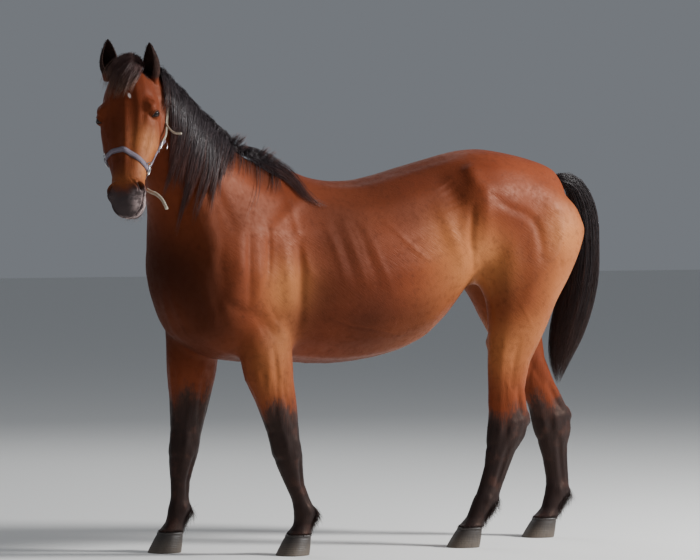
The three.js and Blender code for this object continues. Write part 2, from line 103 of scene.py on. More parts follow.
def pixel_ray(px, py):
    """Direction from the camera through a point of the photograph's frame."""
    side = view_right * ((px - PHOTO_WIDTH / 2) / FOCAL_PIXELS)
    rise = view_up * ((PHOTO_HEIGHT / 2 - py) / FOCAL_PIXELS)
    return (view_dir + side + rise).normalized()


def add_camera():
    data = bpy.data.cameras.new("camera")
    data.sensor_width = SENSOR
    data.lens = FOCAL_PIXELS * SENSOR / PHOTO_WIDTH
    data.clip_end = 100
    camera = bpy.data.objects.new("camera", data)
    bpy.context.scene.collection.objects.link(camera)
    camera.location = camera_at
    camera.rotation_euler = view_dir.to_track_quat("-Z", "Y").to_euler()
    bpy.context.scene.camera = camera


# ---- small tools ----
def smoothstep(low, high, value):
    t = np.clip((value - low) / (high - low), 0, 1)
    return t * t * (3 - 2 * t)


def unit(vectors):
    return vectors / np.maximum(np.linalg.norm(vectors, axis=-1, keepdims=True), TINY)


def squarish(wave, power):
    """Sines or cosines for a loop that nears a rectangle as the power falls from 1."""
    return np.sign(wave) * np.abs(wave) ** power


def new_object(name, verts, faces, smooth=True):
    """A mesh object from arrays; faces is one array per corner count, or a list of them."""
    mesh = bpy.data.meshes.new(name)
    if not isinstance(faces, list):
        faces = [faces]
    faces = [np.asarray(f, np.int32) for f in faces if len(f)]
    indices = np.concatenate([f.ravel() for f in faces])
    sizes = np.concatenate([np.full(len(f), f.shape[1], np.int32) for f in faces])
    mesh.vertices.add(len(verts))
    mesh.vertices.foreach_set("co", np.asarray(verts, np.float32).ravel())
    mesh.loops.add(len(indices))
    mesh.loops.foreach_set("vertex_index", indices)
    mesh.polygons.add(len(sizes))
    mesh.polygons.foreach_set("loop_start", np.concatenate([[0], np.cumsum(sizes)[:-1]]).astype(np.int32))
    mesh.update(calc_edges=True)
    mesh.validate()
    mesh.polygons.foreach_set("use_smooth", np.full(len(sizes), smooth))
    piece = bpy.data.objects.new(name, mesh)
    bpy.context.scene.collection.objects.link(piece)
    return piece


def coords(mesh, kind="vertices", key="co"):
    """The places of a mesh's vertices, or another vector of each."""
    flat = np.empty(len(mesh.vertices) * 3, np.float32)
    getattr(mesh, kind).foreach_get(key, flat)
    return flat.reshape(-1, 3).astype(float)


def corners(mesh):
    """The vertex at each corner of each face."""
    flat = np.empty(len(mesh.loops), np.int32)
    mesh.loops.foreach_get("vertex_index", flat)
    return flat


def sorted_sides(faces):
    """The two vertices of each side of each face, the lower one first."""
    return np.sort(np.stack([faces, np.roll(faces, -1, 1)], 2).reshape(-1, 2), 1)


def set_coords(mesh, points):
    mesh.vertices.foreach_set("co", points.astype(np.float32).ravel())
    mesh.update()


def edge_pairs(mesh):
    flat = np.empty(len(mesh.edges) * 2, np.int32)
    mesh.edges.foreach_get("vertices", flat)
    return flat.reshape(-1, 2)


def neighbour_mean(points, pairs, degree):
    total = np.empty_like(points)
    for axis in range(points.shape[1]):
        column = points[:, axis]
        total[:, axis] = (np.bincount(pairs[:, 0], column[pairs[:, 1]], len(points))
                          + np.bincount(pairs[:, 1], column[pairs[:, 0]], len(points)))
    return total / degree[:, None]


def relax(points, pairs, rounds, weight, inflate=0.0):
    """Smooths points; a negative step of size inflate after each one keeps the volume."""
    degree = np.maximum(np.bincount(pairs.ravel(), minlength=len(points)), 1).astype(float)
    weight = np.broadcast_to(weight, len(points))[:, None]
    for _ in range(rounds):
        points = points + weight * (neighbour_mean(points, pairs, degree) - points)
        if inflate:
            points = points - inflate * weight * (neighbour_mean(points, pairs, degree) - points)
    return points


def spline(points, count):
    """count points evenly spread along a smooth curve through the given ones."""
    p = np.asarray([tuple(q) for q in points], float)
    if len(p) == 2:
        t = np.linspace(0, 1, count)[:, None]
        return p[0] * (1 - t) + p[1] * t
    ends = np.vstack([2 * p[0] - p[1], p, 2 * p[-1] - p[-2]])
    fine = []
    for i in range(len(p) - 1):
        a, b, c, d = ends[i:i + 4]
        t = np.linspace(0, 1, 12, endpoint=False)[:, None]
        fine.append(0.5 * (2 * b + (c - a) * t + (2 * a - 5 * b + 4 * c - d) * t ** 2
                           + (3 * b - a - 3 * c + d) * t ** 3))
    fine = np.vstack(fine + [p[-1:]])
    length = np.concatenate([[0], np.cumsum(np.linalg.norm(np.diff(fine, axis=0), axis=1))])
    at = np.linspace(0, length[-1], count)
    return np.stack([np.interp(at, length, fine[:, k]) for k in range(p.shape[1])], 1)


def put_attribute(mesh, name, values):
    values = np.asarray(values, np.float32)
    kind = "FLOAT" if values.ndim == 1 else "FLOAT_VECTOR"
    layer = mesh.attributes.new(name, kind, "POINT")
    layer.data.foreach_set("value" if values.ndim == 1 else "vector", values.ravel())


def finish(piece, look, slot, *nodes):
    piece.data.materials.append(look)
    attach(piece, "root")
    if nodes:
        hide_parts(*nodes)


# ---- materials ----
class Look:
    """A material with shorthand for building its nodes."""

    def __init__(self, name):
        self.made = bpy.data.materials.new(name)
        self.made.use_nodes = True
        self.tree = self.made.node_tree
        self.tree.nodes.clear()
        out = self.new("ShaderNodeOutputMaterial")
        self.shader = self.new("ShaderNodeBsdfPrincipled")
        self.tree.links.new(self.shader.outputs[0], out.inputs[0])

    def new(self, kind, inputs=None, **settings):
        node = self.tree.nodes.new(kind)
        for key, value in settings.items():
            setattr(node, key, value)
        for key, value in (inputs or {}).items():
            self.feed(node.inputs[key], value)
        return node

    def feed(self, socket, value):
        """Sets a socket to a number or a colour, or links another node's output to it."""
        if isinstance(value, (int, float)):
            socket.default_value = value
        elif isinstance(value, tuple):
            socket.default_value = (*value, 1)
        else:
            self.tree.links.new(value, socket)

    def set(self, name, value):
        self.feed(self.shader.inputs[name], value)

    def attribute(self, name, output="Fac"):
        return self.new("ShaderNodeAttribute", attribute_name=name).outputs[output]

    def noise(self, scale, detail=3.0, vector=None, rough=0.5):
        if vector is None:
            vector = self.new("ShaderNodeTexCoord").outputs["Object"]
        inputs = {"Scale": scale, "Detail": detail, "Roughness": rough, "Vector": vector}
        return self.new("ShaderNodeTexNoise", inputs).outputs["Fac"]

    def wave(self, scale, vector, direction):
        inputs = {"Scale": scale, "Distortion": 0.0, "Vector": vector}
        node = self.new("ShaderNodeTexWave", inputs, wave_type="BANDS", bands_direction=direction)
        return node.outputs["Fac"]

    def math(self, kind, a, b):
        return self.new("ShaderNodeMath", {0: a, 1: b}, operation=kind).outputs[0]

    def add(self, a, b):
        return self.math("ADD", a, b)

    def times(self, a, b):
        return self.math("MULTIPLY", a, b)

    def frayed(self, value, noise, amount):
        """The value moved up and down by a noise."""
        return self.add(value, self.times(self.math("SUBTRACT", noise, 0.5), amount))

    def spread(self, value, low, high, to_low=0.0, to_high=1.0):
        """The value eased from one range into another."""
        inputs = {"Value": value, "From Min": low, "From Max": high, "To Min": to_low, "To Max": to_high}
        return self.new("ShaderNodeMapRange", inputs, interpolation_type="SMOOTHSTEP").outputs["Result"]

    def mix(self, factor, a, b):
        return self.new("ShaderNodeMix", {"Factor": factor, 6: a, 7: b}, data_type="RGBA").outputs[2]

    def bump(self, height, strength, distance, base=None):
        inputs = {"Strength": strength, "Distance": distance, "Height": height}
        if base is not None:
            inputs["Normal"] = base
        return self.new("ShaderNodeBump", inputs).outputs[0]


BAY = (0.148, 0.030, 0.011)
BAY_LIGHT = (0.212, 0.047, 0.017)
# Dark bay for random darker specks, also used as painted shade.
BAY_DARK_AND_SHADE = (0.042, 0.010, 0.005)
# Pale gold for the mealy patches, also used as painted sunlight and bounce light.
MEALY_AND_LIT_GOLD = (0.500, 0.185, 0.062)
POINTS_BLACK = (0.020, 0.014, 0.014)
# Brown for the edges of the black points, also used as their painted sheen.
POINTS_BROWN_AND_SHEEN = (0.062, 0.030, 0.024)
MUZZLE_DARK = (0.056, 0.044, 0.046)
MUZZLE_PALE = (0.420, 0.320, 0.310)
STAR_WHITE = (0.700, 0.600, 0.560)


def coat_material():
    n = Look("bay_coat")
    fine = n.noise(38.0, 4.0, rough=0.6)
    lie = n.attribute("lie", "Vector")
    hairs = n.noise(420.0, 3.0, lie, 0.6)
    strands = n.noise(160.0, 2.0, lie, 0.55)
    colour = n.mix(n.spread(n.noise(2.6, 3.0), 0.35, 0.68), BAY, BAY_LIGHT)
    # Painted light: gold where the coat is sunlit and bounce-lit, together with its mealy patches.
    colour = n.mix(n.attribute("gold"), colour, MEALY_AND_LIT_GOLD)
    # Painted shade: darker bay on the breast, under the mane, between the legs and at the shade spots, with
    # the real darker skin round the eyes and the dark ears.
    colour = n.mix(n.attribute("deep"), colour, BAY_DARK_AND_SHADE)
    colour = n.mix(n.spread(fine, 0.45, 0.8, 0.0, 0.35), colour, BAY_DARK_AND_SHADE)
    colour = n.mix(n.spread(hairs, 0.5, 0.85, 0.0, 0.30), colour, BAY_LIGHT)
    ragged = n.frayed(n.frayed(n.attribute("black"), strands, 0.55), fine, 0.35)
    points = n.mix(n.spread(ragged, 0.35, 1.0), POINTS_BROWN_AND_SHEEN, POINTS_BLACK)
    # Painted sheen: random brown patches on the black points stand for their brownish-pink highlights.
    points = n.mix(n.spread(n.noise(17.0, 3.0), 0.52, 0.75, 0.0, 0.6), points, POINTS_BROWN_AND_SHEEN)
    colour = n.mix(n.spread(ragged, 0.28, 0.72), colour, points)
    mottle = n.times(n.attribute("pale"), n.spread(n.noise(70.0, 3.0), 0.38, 0.60, 0.25, 1.0))
    muzzle = n.mix(mottle, MUZZLE_DARK, MUZZLE_PALE)
    colour = n.mix(n.spread(n.frayed(n.attribute("muzzle"), fine, 0.5), 0.15, 0.9), colour, muzzle)
    star = n.times(n.frayed(n.attribute("star"), strands, 0.9), n.spread(n.attribute("star"), 0.02, 0.2))
    n.set("Base Color", n.mix(n.spread(star, 0.35, 0.85), colour, STAR_WHITE))
    gloss = n.add(n.spread(fine, 0.3, 0.8, 0.42, 0.58), n.times(n.attribute("muzzle"), 0.16))
    n.set("Roughness", n.add(gloss, n.times(n.attribute("deep"), 0.30)))
    n.set("Specular IOR Level", 0.18)
    n.set("Specular Tint", (1.0, 0.60, 0.42))
    n.set("Normal", n.bump(hairs, 0.8, 0.0009, n.bump(strands, 0.7, 0.0013)))
    return n.made


def hair_material(name, root, tip, painted_sheen):
    n = Look(name)
    streak = n.noise(300.0, 2.0)
    colour = n.mix(n.times(n.spread(n.attribute("along"), 0.35, 1.0), n.attribute("tint")), root, tip)
    # Painted sheen: streaks of the third colour in the hair stand for its grey-violet highlights.
    n.set("Base Color", n.mix(n.spread(streak, 0.45, 0.8, 0.0, 0.3), colour, painted_sheen))
    n.set("Roughness", n.spread(streak, 0.3, 0.7, 0.32, 0.50))
    n.set("Specular IOR Level", 0.32)
    return n.made


def eye_material():
    n = Look("eyeball")
    colour = n.mix(n.attribute("iris"), (0.045, 0.024, 0.018), (0.020, 0.008, 0.004))
    n.set("Base Color", n.mix(n.attribute("pupil"), colour, (0.002, 0.002, 0.003)))
    n.set("Roughness", 0.06)
    n.set("Specular IOR Level", 0.35)
    n.set("Coat Weight", 0.15)
    n.set("Coat Roughness", 0.02)
    return n.made


def hoof_material():
    n = Look("horn")
    rings = n.noise(1.0, 2.0, n.attribute("rings", "Vector"))
    streaks = n.noise(1.0, 3.0, n.attribute("streaks", "Vector"))
    colour = n.mix(n.spread(n.attribute("down"), 0.1, 1.0), (0.040, 0.032, 0.028), (0.125, 0.098, 0.075))
    n.set("Base Color", n.mix(n.spread(streaks, 0.4, 0.75, 0.0, 0.5), colour, (0.028, 0.022, 0.020)))
    n.set("Roughness", 0.5)
    n.set("Normal", n.bump(rings, 0.6, 0.0012, n.bump(streaks, 0.3, 0.0006)))
    return n.made


def webbing_material(name, colour, dark, stitch):
    n = Look(name)
    weave = n.attribute("weave", "Vector")
    edge = n.attribute("edge")
    ribs = n.wave(0.42, weave, "X")
    shade = n.mix(n.spread(ribs, 0.2, 0.8, 0.0, 0.35), colour, dark)
    shade = n.mix(n.spread(n.noise(60.0, 3.0), 0.45, 0.8, 0.0, 0.5), shade, dark)
    line = n.times(n.spread(edge, 0.66, 0.72), n.math("SUBTRACT", 1.0, n.spread(edge, 0.80, 0.86)))
    line = n.times(line, n.spread(n.wave(0.30, weave, "X"), 0.45, 0.6))
    n.set("Base Color", n.mix(line, shade, stitch))
    n.set("Roughness", 0.72)
    n.set("Sheen Weight", 0.15)
    n.set("Normal", n.bump(n.add(ribs, n.times(n.wave(0.55, weave, "Y"), 0.5)), 0.6, 0.0008))
    return n.made


def plain_material(name, colour, roughness, metallic=0.0):
    n = Look(name)
    n.set("Base Color", colour)
    n.set("Roughness", roughness)
    n.set("Metallic", metallic)
    return n.made


# ---- the animal's own measures, written in millimetres of the part's drawing ----
POLL_DRAWN = (-1.275, -0.200, 1.998)  # metres
ORIGIN = np.array(POLL) - np.array(POLL_DRAWN)
SPINE = np.array([
    (900, -55), (600, -22), (300, 0), (0, 10), (-300, 8), (-550, -8),
    (-750, -42), (-900, -80), (-1050, -125), (-1200, -178), (-1350, -240)]) / 1000
AXES = {
    "foreleg_left": [
        (1120, -690, -150), (980, -675, -178), (850, -657, -198), (720, -640, -202), (630, -612, -203),
        (520, -582, -203), (412, -559, -203), (290, -525, -202), (172, -478, -201), (84, -506, -200)],
    "foreleg_right": [
        (1120, -850, 92), (980, -838, 112), (850, -832, 130), (720, -836, 138), (630, -843, 142),
        (520, -853, 145), (412, -868, 146), (290, -882, 146), (172, -888, 146), (84, -926, 145)],
    "hindleg_left": [
        (1320, 592, -150), (1170, 553, -168), (1020, 535, -182), (880, 505, -188),
        (770, 474, -188), (650, 464, -184), (520, 474, -182), (460, 461, -182), (395, 437, -182),
        (335, 421, -182), (190, 364, -182), (84, 296, -182)],
    "hindleg_right": [
        (1320, 600, 92), (1170, 590, 104), (1020, 612, 110), (880, 660, 112),
        (770, 706, 112), (650, 776, 112), (520, 834, 112), (460, 842, 112), (395, 848, 112),
        (335, 858, 112), (190, 868, 112), (84, 810, 112)],
}
LEG_TURN = {"fore": math.radians(15), "hind": math.radians(-6)}
TAIL = np.array([
    (735, -50, 1525, 26, 38), (790, -52, 1536, 34, 42), (852, -44, 1512, 44, 46), (902, -24, 1445, 56, 52),
    (938, 6, 1360, 64, 60), (952, 30, 1250, 66, 70), (950, 52, 1130, 76, 86), (934, 76, 1010, 78, 94),
    (908, 98, 890, 72, 92), (884, 116, 780, 50, 68), (878, 124, 700, 26, 36), (880, 128, 650, 6, 8)]) / 1000
HANDS = (("left", 1), ("right", -1))


def spine_y(x):
    """Sideways place of the middle plane of the trunk and neck at x."""
    drawn = np.asarray(x) - ORIGIN[0]
    return np.interp(drawn, SPINE[::-1, 0], SPINE[::-1, 1]) + ORIGIN[1]


def leg_axis(name, z):
    table = np.array(AXES[name][::-1]) / 1000
    return (np.interp(z, table[:, 0], table[:, 1]) + ORIGIN[0],
            np.interp(z, table[:, 0], table[:, 2]) + ORIGIN[1])


# ---- the skin: one closed surface through every node of flesh ----
FLESH = ["trunk", "neck", "head", "foreleg_left", "foreleg_right", "hindleg_left", "hindleg_right"]
SEAM_FILL = 0.0012  # the copies swell by this much so that the gaps between nodes close


def merged_copy(nodes, swell):
    """One object from copies of CAD nodes, each pushed out along its normals."""
    parts = []
    for name in nodes:
        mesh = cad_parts[name].data.copy()
        work = bmesh.new()
        work.from_mesh(mesh)
        bmesh.ops.remove_doubles(work, verts=work.verts, dist=1e-5)
        work.normal_update()
        for vert in work.verts:
            vert.co += vert.normal * swell
        bmesh.ops.triangulate(work, faces=work.faces)
        verts = np.array([v.co for v in work.verts])
        faces = np.array([[v.index for v in f.verts] for f in work.faces])
        work.free()
        bpy.data.meshes.remove(mesh)
        parts.append((verts, faces))
    offsets = np.cumsum([0] + [len(v) for v, _ in parts])
    verts = np.vstack([v for v, _ in parts])
    faces = np.vstack([f + offset for (_, f), offset in zip(parts, offsets)])
    return new_object("flesh", verts, faces, smooth=False)


def evaluated(piece):
    """A new mesh of a piece with its modifiers applied."""
    graph = bpy.context.evaluated_depsgraph_get()
    return bpy.data.meshes.new_from_object(piece.evaluated_get(graph))


def largest_part(verts, faces):
    """The vertices and faces of the biggest connected part."""
    label = np.arange(len(verts))
    while True:
        low = label[faces].min(1)
        new = label.copy()
        for k in range(faces.shape[1]):
            np.minimum.at(new, faces[:, k], low)
        new = new[new]
        if (new == label).all():
            break
        label = new
    main = np.bincount(label).argmax()
    keep = label == main
    index = np.cumsum(keep) - 1
    return verts[keep], index[faces[keep[faces[:, 0]]]]


def split_quads(verts, faces, chosen):
    """Splits the chosen quads in four and the quads beside them to match."""
    unique, inverse = np.unique(sorted_sides(faces), axis=0, return_inverse=True)
    inverse = inverse.reshape(-1, 4)
    cut = np.zeros(len(unique), bool)
    cut[inverse[chosen]] = True
    middle_index = np.full(len(unique), -1)
    middle_index[cut] = len(verts) + np.arange(cut.sum())
    middles = verts[unique[cut]].mean(1)
    centre_index = np.full(len(faces), -1)
    touched = cut[inverse].any(1)
    centre_index[touched] = len(verts) + cut.sum() + np.arange(touched.sum())
    centres = verts[faces[touched]].mean(1)
    corner, mid, hub = faces[touched], middle_index[inverse[touched]], centre_index[touched]
    full = (mid >= 0).all(1)
    quads, tris = [faces[~touched]], []
    for k in range(4):
        quads.append(np.stack([corner[full, k], mid[full, k], hub[full], mid[full, k - 1]], 1))
        start, end, between, top = (v[~full] for v in (corner[:, k], corner[:, (k + 1) % 4], mid[:, k], hub))
        cut_side = between >= 0
        for a, b, some in ((start, end, ~cut_side), (start, between, cut_side), (between, end, cut_side)):
            tris.append(np.stack([a[some], b[some], top[some]], 1))
    return np.vstack([verts, middles, centres]), np.vstack(quads), np.vstack(tris)


def region_weights(points):
    """How much of each point belongs to the legs and to the head."""
    s, w, n = head_coords(points).T * 1000
    head = smoothstep(40, 120, s) * smoothstep(170, 140, np.abs(w)) * smoothstep(-330, -290, n)
    poll = smoothstep(-30, 20, s) * smoothstep(150, 110, np.abs(w)) * smoothstep(-110, -60, n)
    return smoothstep(0.90, 0.74, points[:, 2]), np.maximum(head, poll)


def build_skin():
    """Vertices and quads of one closed surface over the flesh, smoothed most on the trunk."""
    flesh = merged_copy(FLESH + ["eye_left", "eye_right"], SEAM_FILL)
    cover = flesh.modifiers.new("cover", "REMESH")
    cover.mode = "VOXEL"
    cover.voxel_size = VOXEL
    mesh = evaluated(flesh)
    bpy.data.objects.remove(flesh)
    verts, quads = largest_part(coords(mesh), corners(mesh).reshape(-1, 4))
    bpy.data.meshes.remove(mesh)
    sides = np.unique(sorted_sides(quads), axis=0)
    rounds = (0.006 / VOXEL) ** 2  # a coarser grid spreads further at each round
    soft = 1 - np.maximum(*region_weights(verts))
    verts = relax(verts, sides, round(16 * rounds), 0.5, 1.03)
    return relax(verts, sides, round(90 * rounds), 0.55 * soft), quads


def met(hits):
    """The places and the mean normal of the rays that met the skin, or None if fewer than two did."""
    hits = [hit for hit in hits if hit[0] is not None]
    if len(hits) < 2:
        return None, None
    return np.array([place for place, _ in hits]), np.mean([normal for _, normal in hits], axis=0)


PUSH_REACH = 2.6  # how many radii from its curve a push acts


class Surface:
    """The skin's arrays while it is being shaped."""

    def __init__(self, verts, quads, tris=np.empty((0, 3), int)):
        self.verts, self.quads, self.tris = verts, quads, tris
        self.refresh()

    def refresh(self):
        """Works the normals and the search tree out again."""
        total = np.zeros_like(self.verts)
        for faces in (self.quads, self.tris):
            a, b, c, d = (self.verts[faces[:, k]] for k in (0, 1, 2, -1))
            area = np.cross(c - a, d - b) if faces.shape[1] == 4 else np.cross(b - a, c - a)
            for k in range(faces.shape[1]):
                for axis in range(3):
                    total[:, axis] += np.bincount(faces[:, k], area[:, axis], len(self.verts))
        self.normals = total / np.maximum(np.linalg.norm(total, axis=1), 1e-12)[:, None]
        self.tree = BVHTree.FromPolygons(self.verts.tolist(), self.quads.tolist() + self.tris.tolist())

    def edges(self):
        return np.unique(np.vstack([sorted_sides(self.quads), sorted_sides(self.tris)]), axis=0)

    def push(self, points, radius, height, facing=None, taper=True):
        """Raises (or sinks) the skin by height along a curve, fading over radius."""
        path = spline(points, max(4, int(np.linalg.norm(np.diff(points, axis=0), axis=1).sum() / radius * 2)))
        reach = PUSH_REACH * radius
        low, high = path.min(0) - reach, path.max(0) + reach
        near = np.nonzero(((self.verts > low) & (self.verts < high)).all(1))[0]
        if not len(near):
            return
        gap = np.linalg.norm(self.verts[near, None] - path[None], axis=2)
        nearest = gap.argmin(1)
        amount = height * np.exp(-(gap.min(1) / radius) ** 2)
        if taper and len(path) > 4:
            along = np.linspace(0, 1, len(path))
            amount *= (0.25 + 0.75 * np.sin(np.pi * np.clip(along, 0.04, 0.96)) ** 0.6)[nearest]
        if facing is not None:
            toward = (self.normals[near] * facing).sum(1)
            amount *= smoothstep(-0.1, 0.35, toward)
        self.verts[near] += self.normals[near] * amount[:, None]

    def spot(self, origin, direction):
        """Where a ray meets the skin, or None, with the normal there."""
        place, normal, _, _ = self.tree.ray_cast(Vector(origin), Vector(direction))
        if place is None:
            return None, None
        return np.array(place), np.array(normal)

    def nearest(self, point):
        place, normal, _, _ = self.tree.find_nearest(Vector(point))
        return np.array(place), np.array(normal)

    def pulled(self, points):
        """The points moved to the nearest skin, and their mean normal."""
        pairs = [self.nearest(p) for p in points]
        return np.array([place for place, _ in pairs]), np.mean([normal for _, normal in pairs], axis=0)

    def seen(self, pixels):
        """Points of the skin behind points of the photograph's frame, and their mean normal."""
        points, facing = met([self.spot(camera_at, pixel_ray(px, py)) for px, py in pixels])
        return points, None if points is None else unit(facing)


# ---- the forms of the body, near side ----
# A curve in pixels of the photograph's frame, then its radius and height in millimetres.
# Each is repeated on the far side of the trunk.
BODY_FORMS = [
    ([(240, 226), (241, 260), (238, 296)], 34, 7),  # shoulder blade and its muscles
    ([(250, 232), (250, 270), (250, 304)], 14, -6),
    ([(259, 238), (260, 274), (258, 304)], 22, 5),
    ([(268, 226), (270, 254), (268, 282)], 13, -6),
    ([(283, 236), (288, 275), (289, 318)], 36, 10),
    ([(300, 240), (302, 280), (299, 328)], 20, -10),
    ([(303, 198), (286, 216), (270, 234)], 30, 5),
    ([(224, 236), (222, 266), (225, 292)], 22, -4),
    ([(224, 298), (238, 310), (257, 316), (272, 334)], 22, -6),
    ([(280, 326), (286, 340)], 30, 9),  # elbow
    ([(262, 312), (272, 332)], 8, -3),
    ([(270, 306), (281, 326)], 8, -3),
    ([(258, 320), (268, 338)], 8, -3),
    ([(289, 200), (300, 240), (314, 279)], 17, 3),  # ribs
    ([(326, 225), (337, 252), (346, 282)], 16, 3),
    ([(343, 220), (355, 250), (366, 282)], 16, 3),
    ([(366, 228), (381, 262), (394, 294)], 16, 3),
    ([(387, 223), (408, 242), (429, 261)], 11, 2.5),
    ([(334, 222), (346, 252), (356, 284)], 12, -2.5),
    ([(356, 224), (369, 256), (380, 290)], 12, -2.5),
    ([(429, 276), (436, 300), (440, 337)], 5, 1.8),  # veins of the belly
    ([(404, 341), (413, 343), (422, 344)], 5, 1.5),
    ([(390.7, 332), (395, 325), (397, 317)], 5, 1.5),
    ([(330, 318), (352, 326), (380, 331), (402, 336)], 5, 2),
    ([(443, 182), (454, 194), (462, 208)], 42, -13),  # hollow of the flank
    ([(440, 208), (454, 240), (466, 272)], 32, 7),
    ([(473, 208), (472, 240), (474, 270)], 16, -9),
    ([(470, 170), (474, 180)], 34, 10),  # point of the hip
    ([(486, 186), (488, 214), (486, 244)], 32, 7),  # front of the thigh
    ([(494, 196), (511, 208), (529, 216), (539, 230), (543, 257)], 20, -7),
    ([(562, 214), (560, 248), (546, 270), (533, 288), (526, 304)], 26, 5),
    ([(562, 262), (562, 267)], 10, -4),
    ([(508, 235), (514, 262), (510, 290)], 42, 6),
    ([(538, 188), (552, 204)], 46, 5),
    ([(520, 302), (527, 315), (534, 330)], 5, 2.2),
    ([(519, 329), (533, 329)], 6, -2.5),
    ([(500, 352), (508, 364), (517, 375)], 4, 2),
    ([(508, 356), (512, 366), (510, 376)], 4, 2),
    ([(480, 258), (492, 288), (500, 318)], 18, -6),
    ([(316, 183), (345, 184), (390, 174)], 32, -3),  # beside the backbone
    ([(400, 172), (440, 160), (470, 156)], 28, -3),
    ([(205, 150), (222, 200), (236, 230)], 22, -4),  # jugular groove and neck muscles
    ([(192, 160), (205, 205), (216, 246)], 26, 4),
    ([(176, 178), (190, 215), (205, 262)], 18, -6),
    ([(194, 262), (204, 290), (212, 316)], 34, 7),  # breast
    ([(216, 300), (222, 322), (228, 345)], 20, -7),
    ([(168, 280), (174, 305), (186, 330)], 26, 5),
]
# The same for the near legs, not repeated.
LEG_FORMS = [
    ([(274, 348), (276, 362), (278, 385), (277, 410)], 9, -6),
    ([(281, 373), (292, 377)], 4, -2.2),
    ([(282, 384), (292, 390)], 4, -2.2),
    ([(283, 396), (291, 402)], 4, -2.2),
    ([(268, 352), (270, 372), (268, 392)], 14, 4),
    ([(287, 352), (289, 372), (287, 398)], 12, 3),
    ([(505, 380), (512, 392), (520, 402)], 3.5, 2.5),
    ([(540, 345), (530, 372), (528, 398)], 8, -5),
]


def shape_body(skin):
    for forms, far_side in ((BODY_FORMS + LEG_FORMS, False), (BODY_FORMS, True)):
        for pixels, radius, height in forms:
            points, facing = skin.seen(pixels)
            if points is None:
                continue
            if far_side:
                points[:, 1] = 2 * spine_y(points[:, 0]) - points[:, 1]
                points, facing = skin.pulled(points)
            skin.push(points, radius / 1000, height / 1000, facing)
        if not far_side:
            skin.refresh()


def both(path, radius, height):
    """A form of a leg and its mirror on the leg's other side."""
    return [(path, radius, height), ([(z, -turn) for z, turn in path], radius, height)]


# ---- the forms of a leg: height, degrees from the rear round to the horse's left ----
FORE_DETAIL = [
    ([(0.50, 180), (0.46, 180), (0.425, 180)], 22, 7),  # front of the knee
    *both([(0.480, 120), (0.450, 122)], 16, 5), *both([(0.470, 70), (0.445, 66)], 17, 6),
    ([(0.445, 8), (0.415, 0)], 15, 8),  # the small bone behind the knee
    ([(0.500, 110), (0.508, 180), (0.500, 250)], 10, -4),
    ([(0.455, 125), (0.452, 180), (0.455, 235)], 6, -2.5),
    ([(0.400, 100), (0.388, 180), (0.400, 260)], 11, -5),
    *both([(0.385, 74), (0.30, 70), (0.215, 64)], 9, -9),
    *both([(0.37, 38), (0.29, 36), (0.21, 34)], 6, -3.5),
    *both([(0.37, 104), (0.29, 104), (0.21, 100)], 9, 3),
    ([(0.182, 25), (0.178, 0), (0.182, -25)], 15, 8),  # back of the fetlock
    *both([(0.190, 90), (0.176, 94)], 15, 5), ([(0.205, 150), (0.210, 180), (0.205, 210)], 10, -3),
    ([(0.140, 30), (0.128, 0), (0.140, -30)], 13, -8),  # hollow of the pastern
    ([(0.150, 150), (0.140, 180), (0.150, 210)], 10, -3), *both([(0.72, 90), (0.63, 86), (0.54, 80)], 13, -7),
    *both([(0.72, 128), (0.63, 132), (0.54, 140)], 8, -4), ([(0.74, 155), (0.66, 162), (0.57, 168)], 18, 7),
    ([(0.74, 40), (0.66, 36), (0.58, 30)], 20, 5), ([(0.60, 12), (0.55, 8), (0.51, 6)], 10, -4),
    ([(0.66, 108), (0.60, 104), (0.55, 112)], 4, 2.2),
]
HIND_DETAIL = [
    ([(0.545, 0), (0.515, 0)], 15, 10),  # point of the hock
    *both([(0.66, 52), (0.60, 46), (0.545, 40)], 13, -12), *both([(0.510, 80), (0.475, 84)], 20, 7),
    *both([(0.500, 140), (0.46, 140)], 14, 5), ([(0.57, 180), (0.53, 180)], 15, -6),
    *both([(0.500, 112), (0.47, 108)], 7, -3.5), ([(0.425, 130), (0.415, 180), (0.425, 230)], 11, -4),
    ([(0.50, 20), (0.45, 14), (0.41, 12)], 9, 4), *both([(0.415, 72), (0.33, 68), (0.24, 62)], 9, -9),
    *both([(0.40, 38), (0.32, 36), (0.24, 34)], 6, -3.5),
    *both([(0.40, 106), (0.32, 106), (0.24, 102)], 9, 3),
    ([(0.198, 25), (0.194, 0), (0.198, -25)], 15, 8), *both([(0.202, 90), (0.190, 94)], 15, 5),
    ([(0.220, 150), (0.224, 180), (0.220, 210)], 10, -3), ([(0.148, 30), (0.134, 0), (0.148, -30)], 13, -8),
    *both([(0.86, 96), (0.76, 92), (0.66, 88)], 16, -7), ([(0.82, 24), (0.74, 14), (0.66, 8)], 13, -6),
    ([(0.84, 135), (0.76, 140), (0.68, 148)], 20, 6),
    *both([(0.72, 112), (0.66, 104), (0.60, 108)], 4.5, 2.4),
]
CORONET = ([(0.088, a) for a in range(0, 361, 30)], 6, 2.5)
# Chestnuts, the horny pads inside the legs: height and degrees from the rear.
CHESTNUTS = {"foreleg_left": (0.60, -80), "foreleg_right": (0.60, 80),
             "hindleg_left": (0.44, -62), "hindleg_right": (0.44, 62)}
# The sheath under the belly, the cleft below the dock and the swell on either side of it, in metres.
UNDERSIDE = [
    ([(0.27, 0.0, 0.80), (0.34, 0.0, 0.84), (0.40, 0.0, 0.88)], 0.030, 0.024),
    ([(0.85, -0.055, 1.47), (0.84, -0.05, 1.38), (0.80, -0.045, 1.26), (0.74, -0.04, 1.12)], 0.020, -0.016),
    ([(0.83, -0.115, 1.42), (0.80, -0.105, 1.30), (0.74, -0.095, 1.16)], 0.045, 0.010),
    ([(0.83, 0.030, 1.42), (0.80, 0.040, 1.30), (0.74, 0.050, 1.16)], 0.045, 0.010),
]


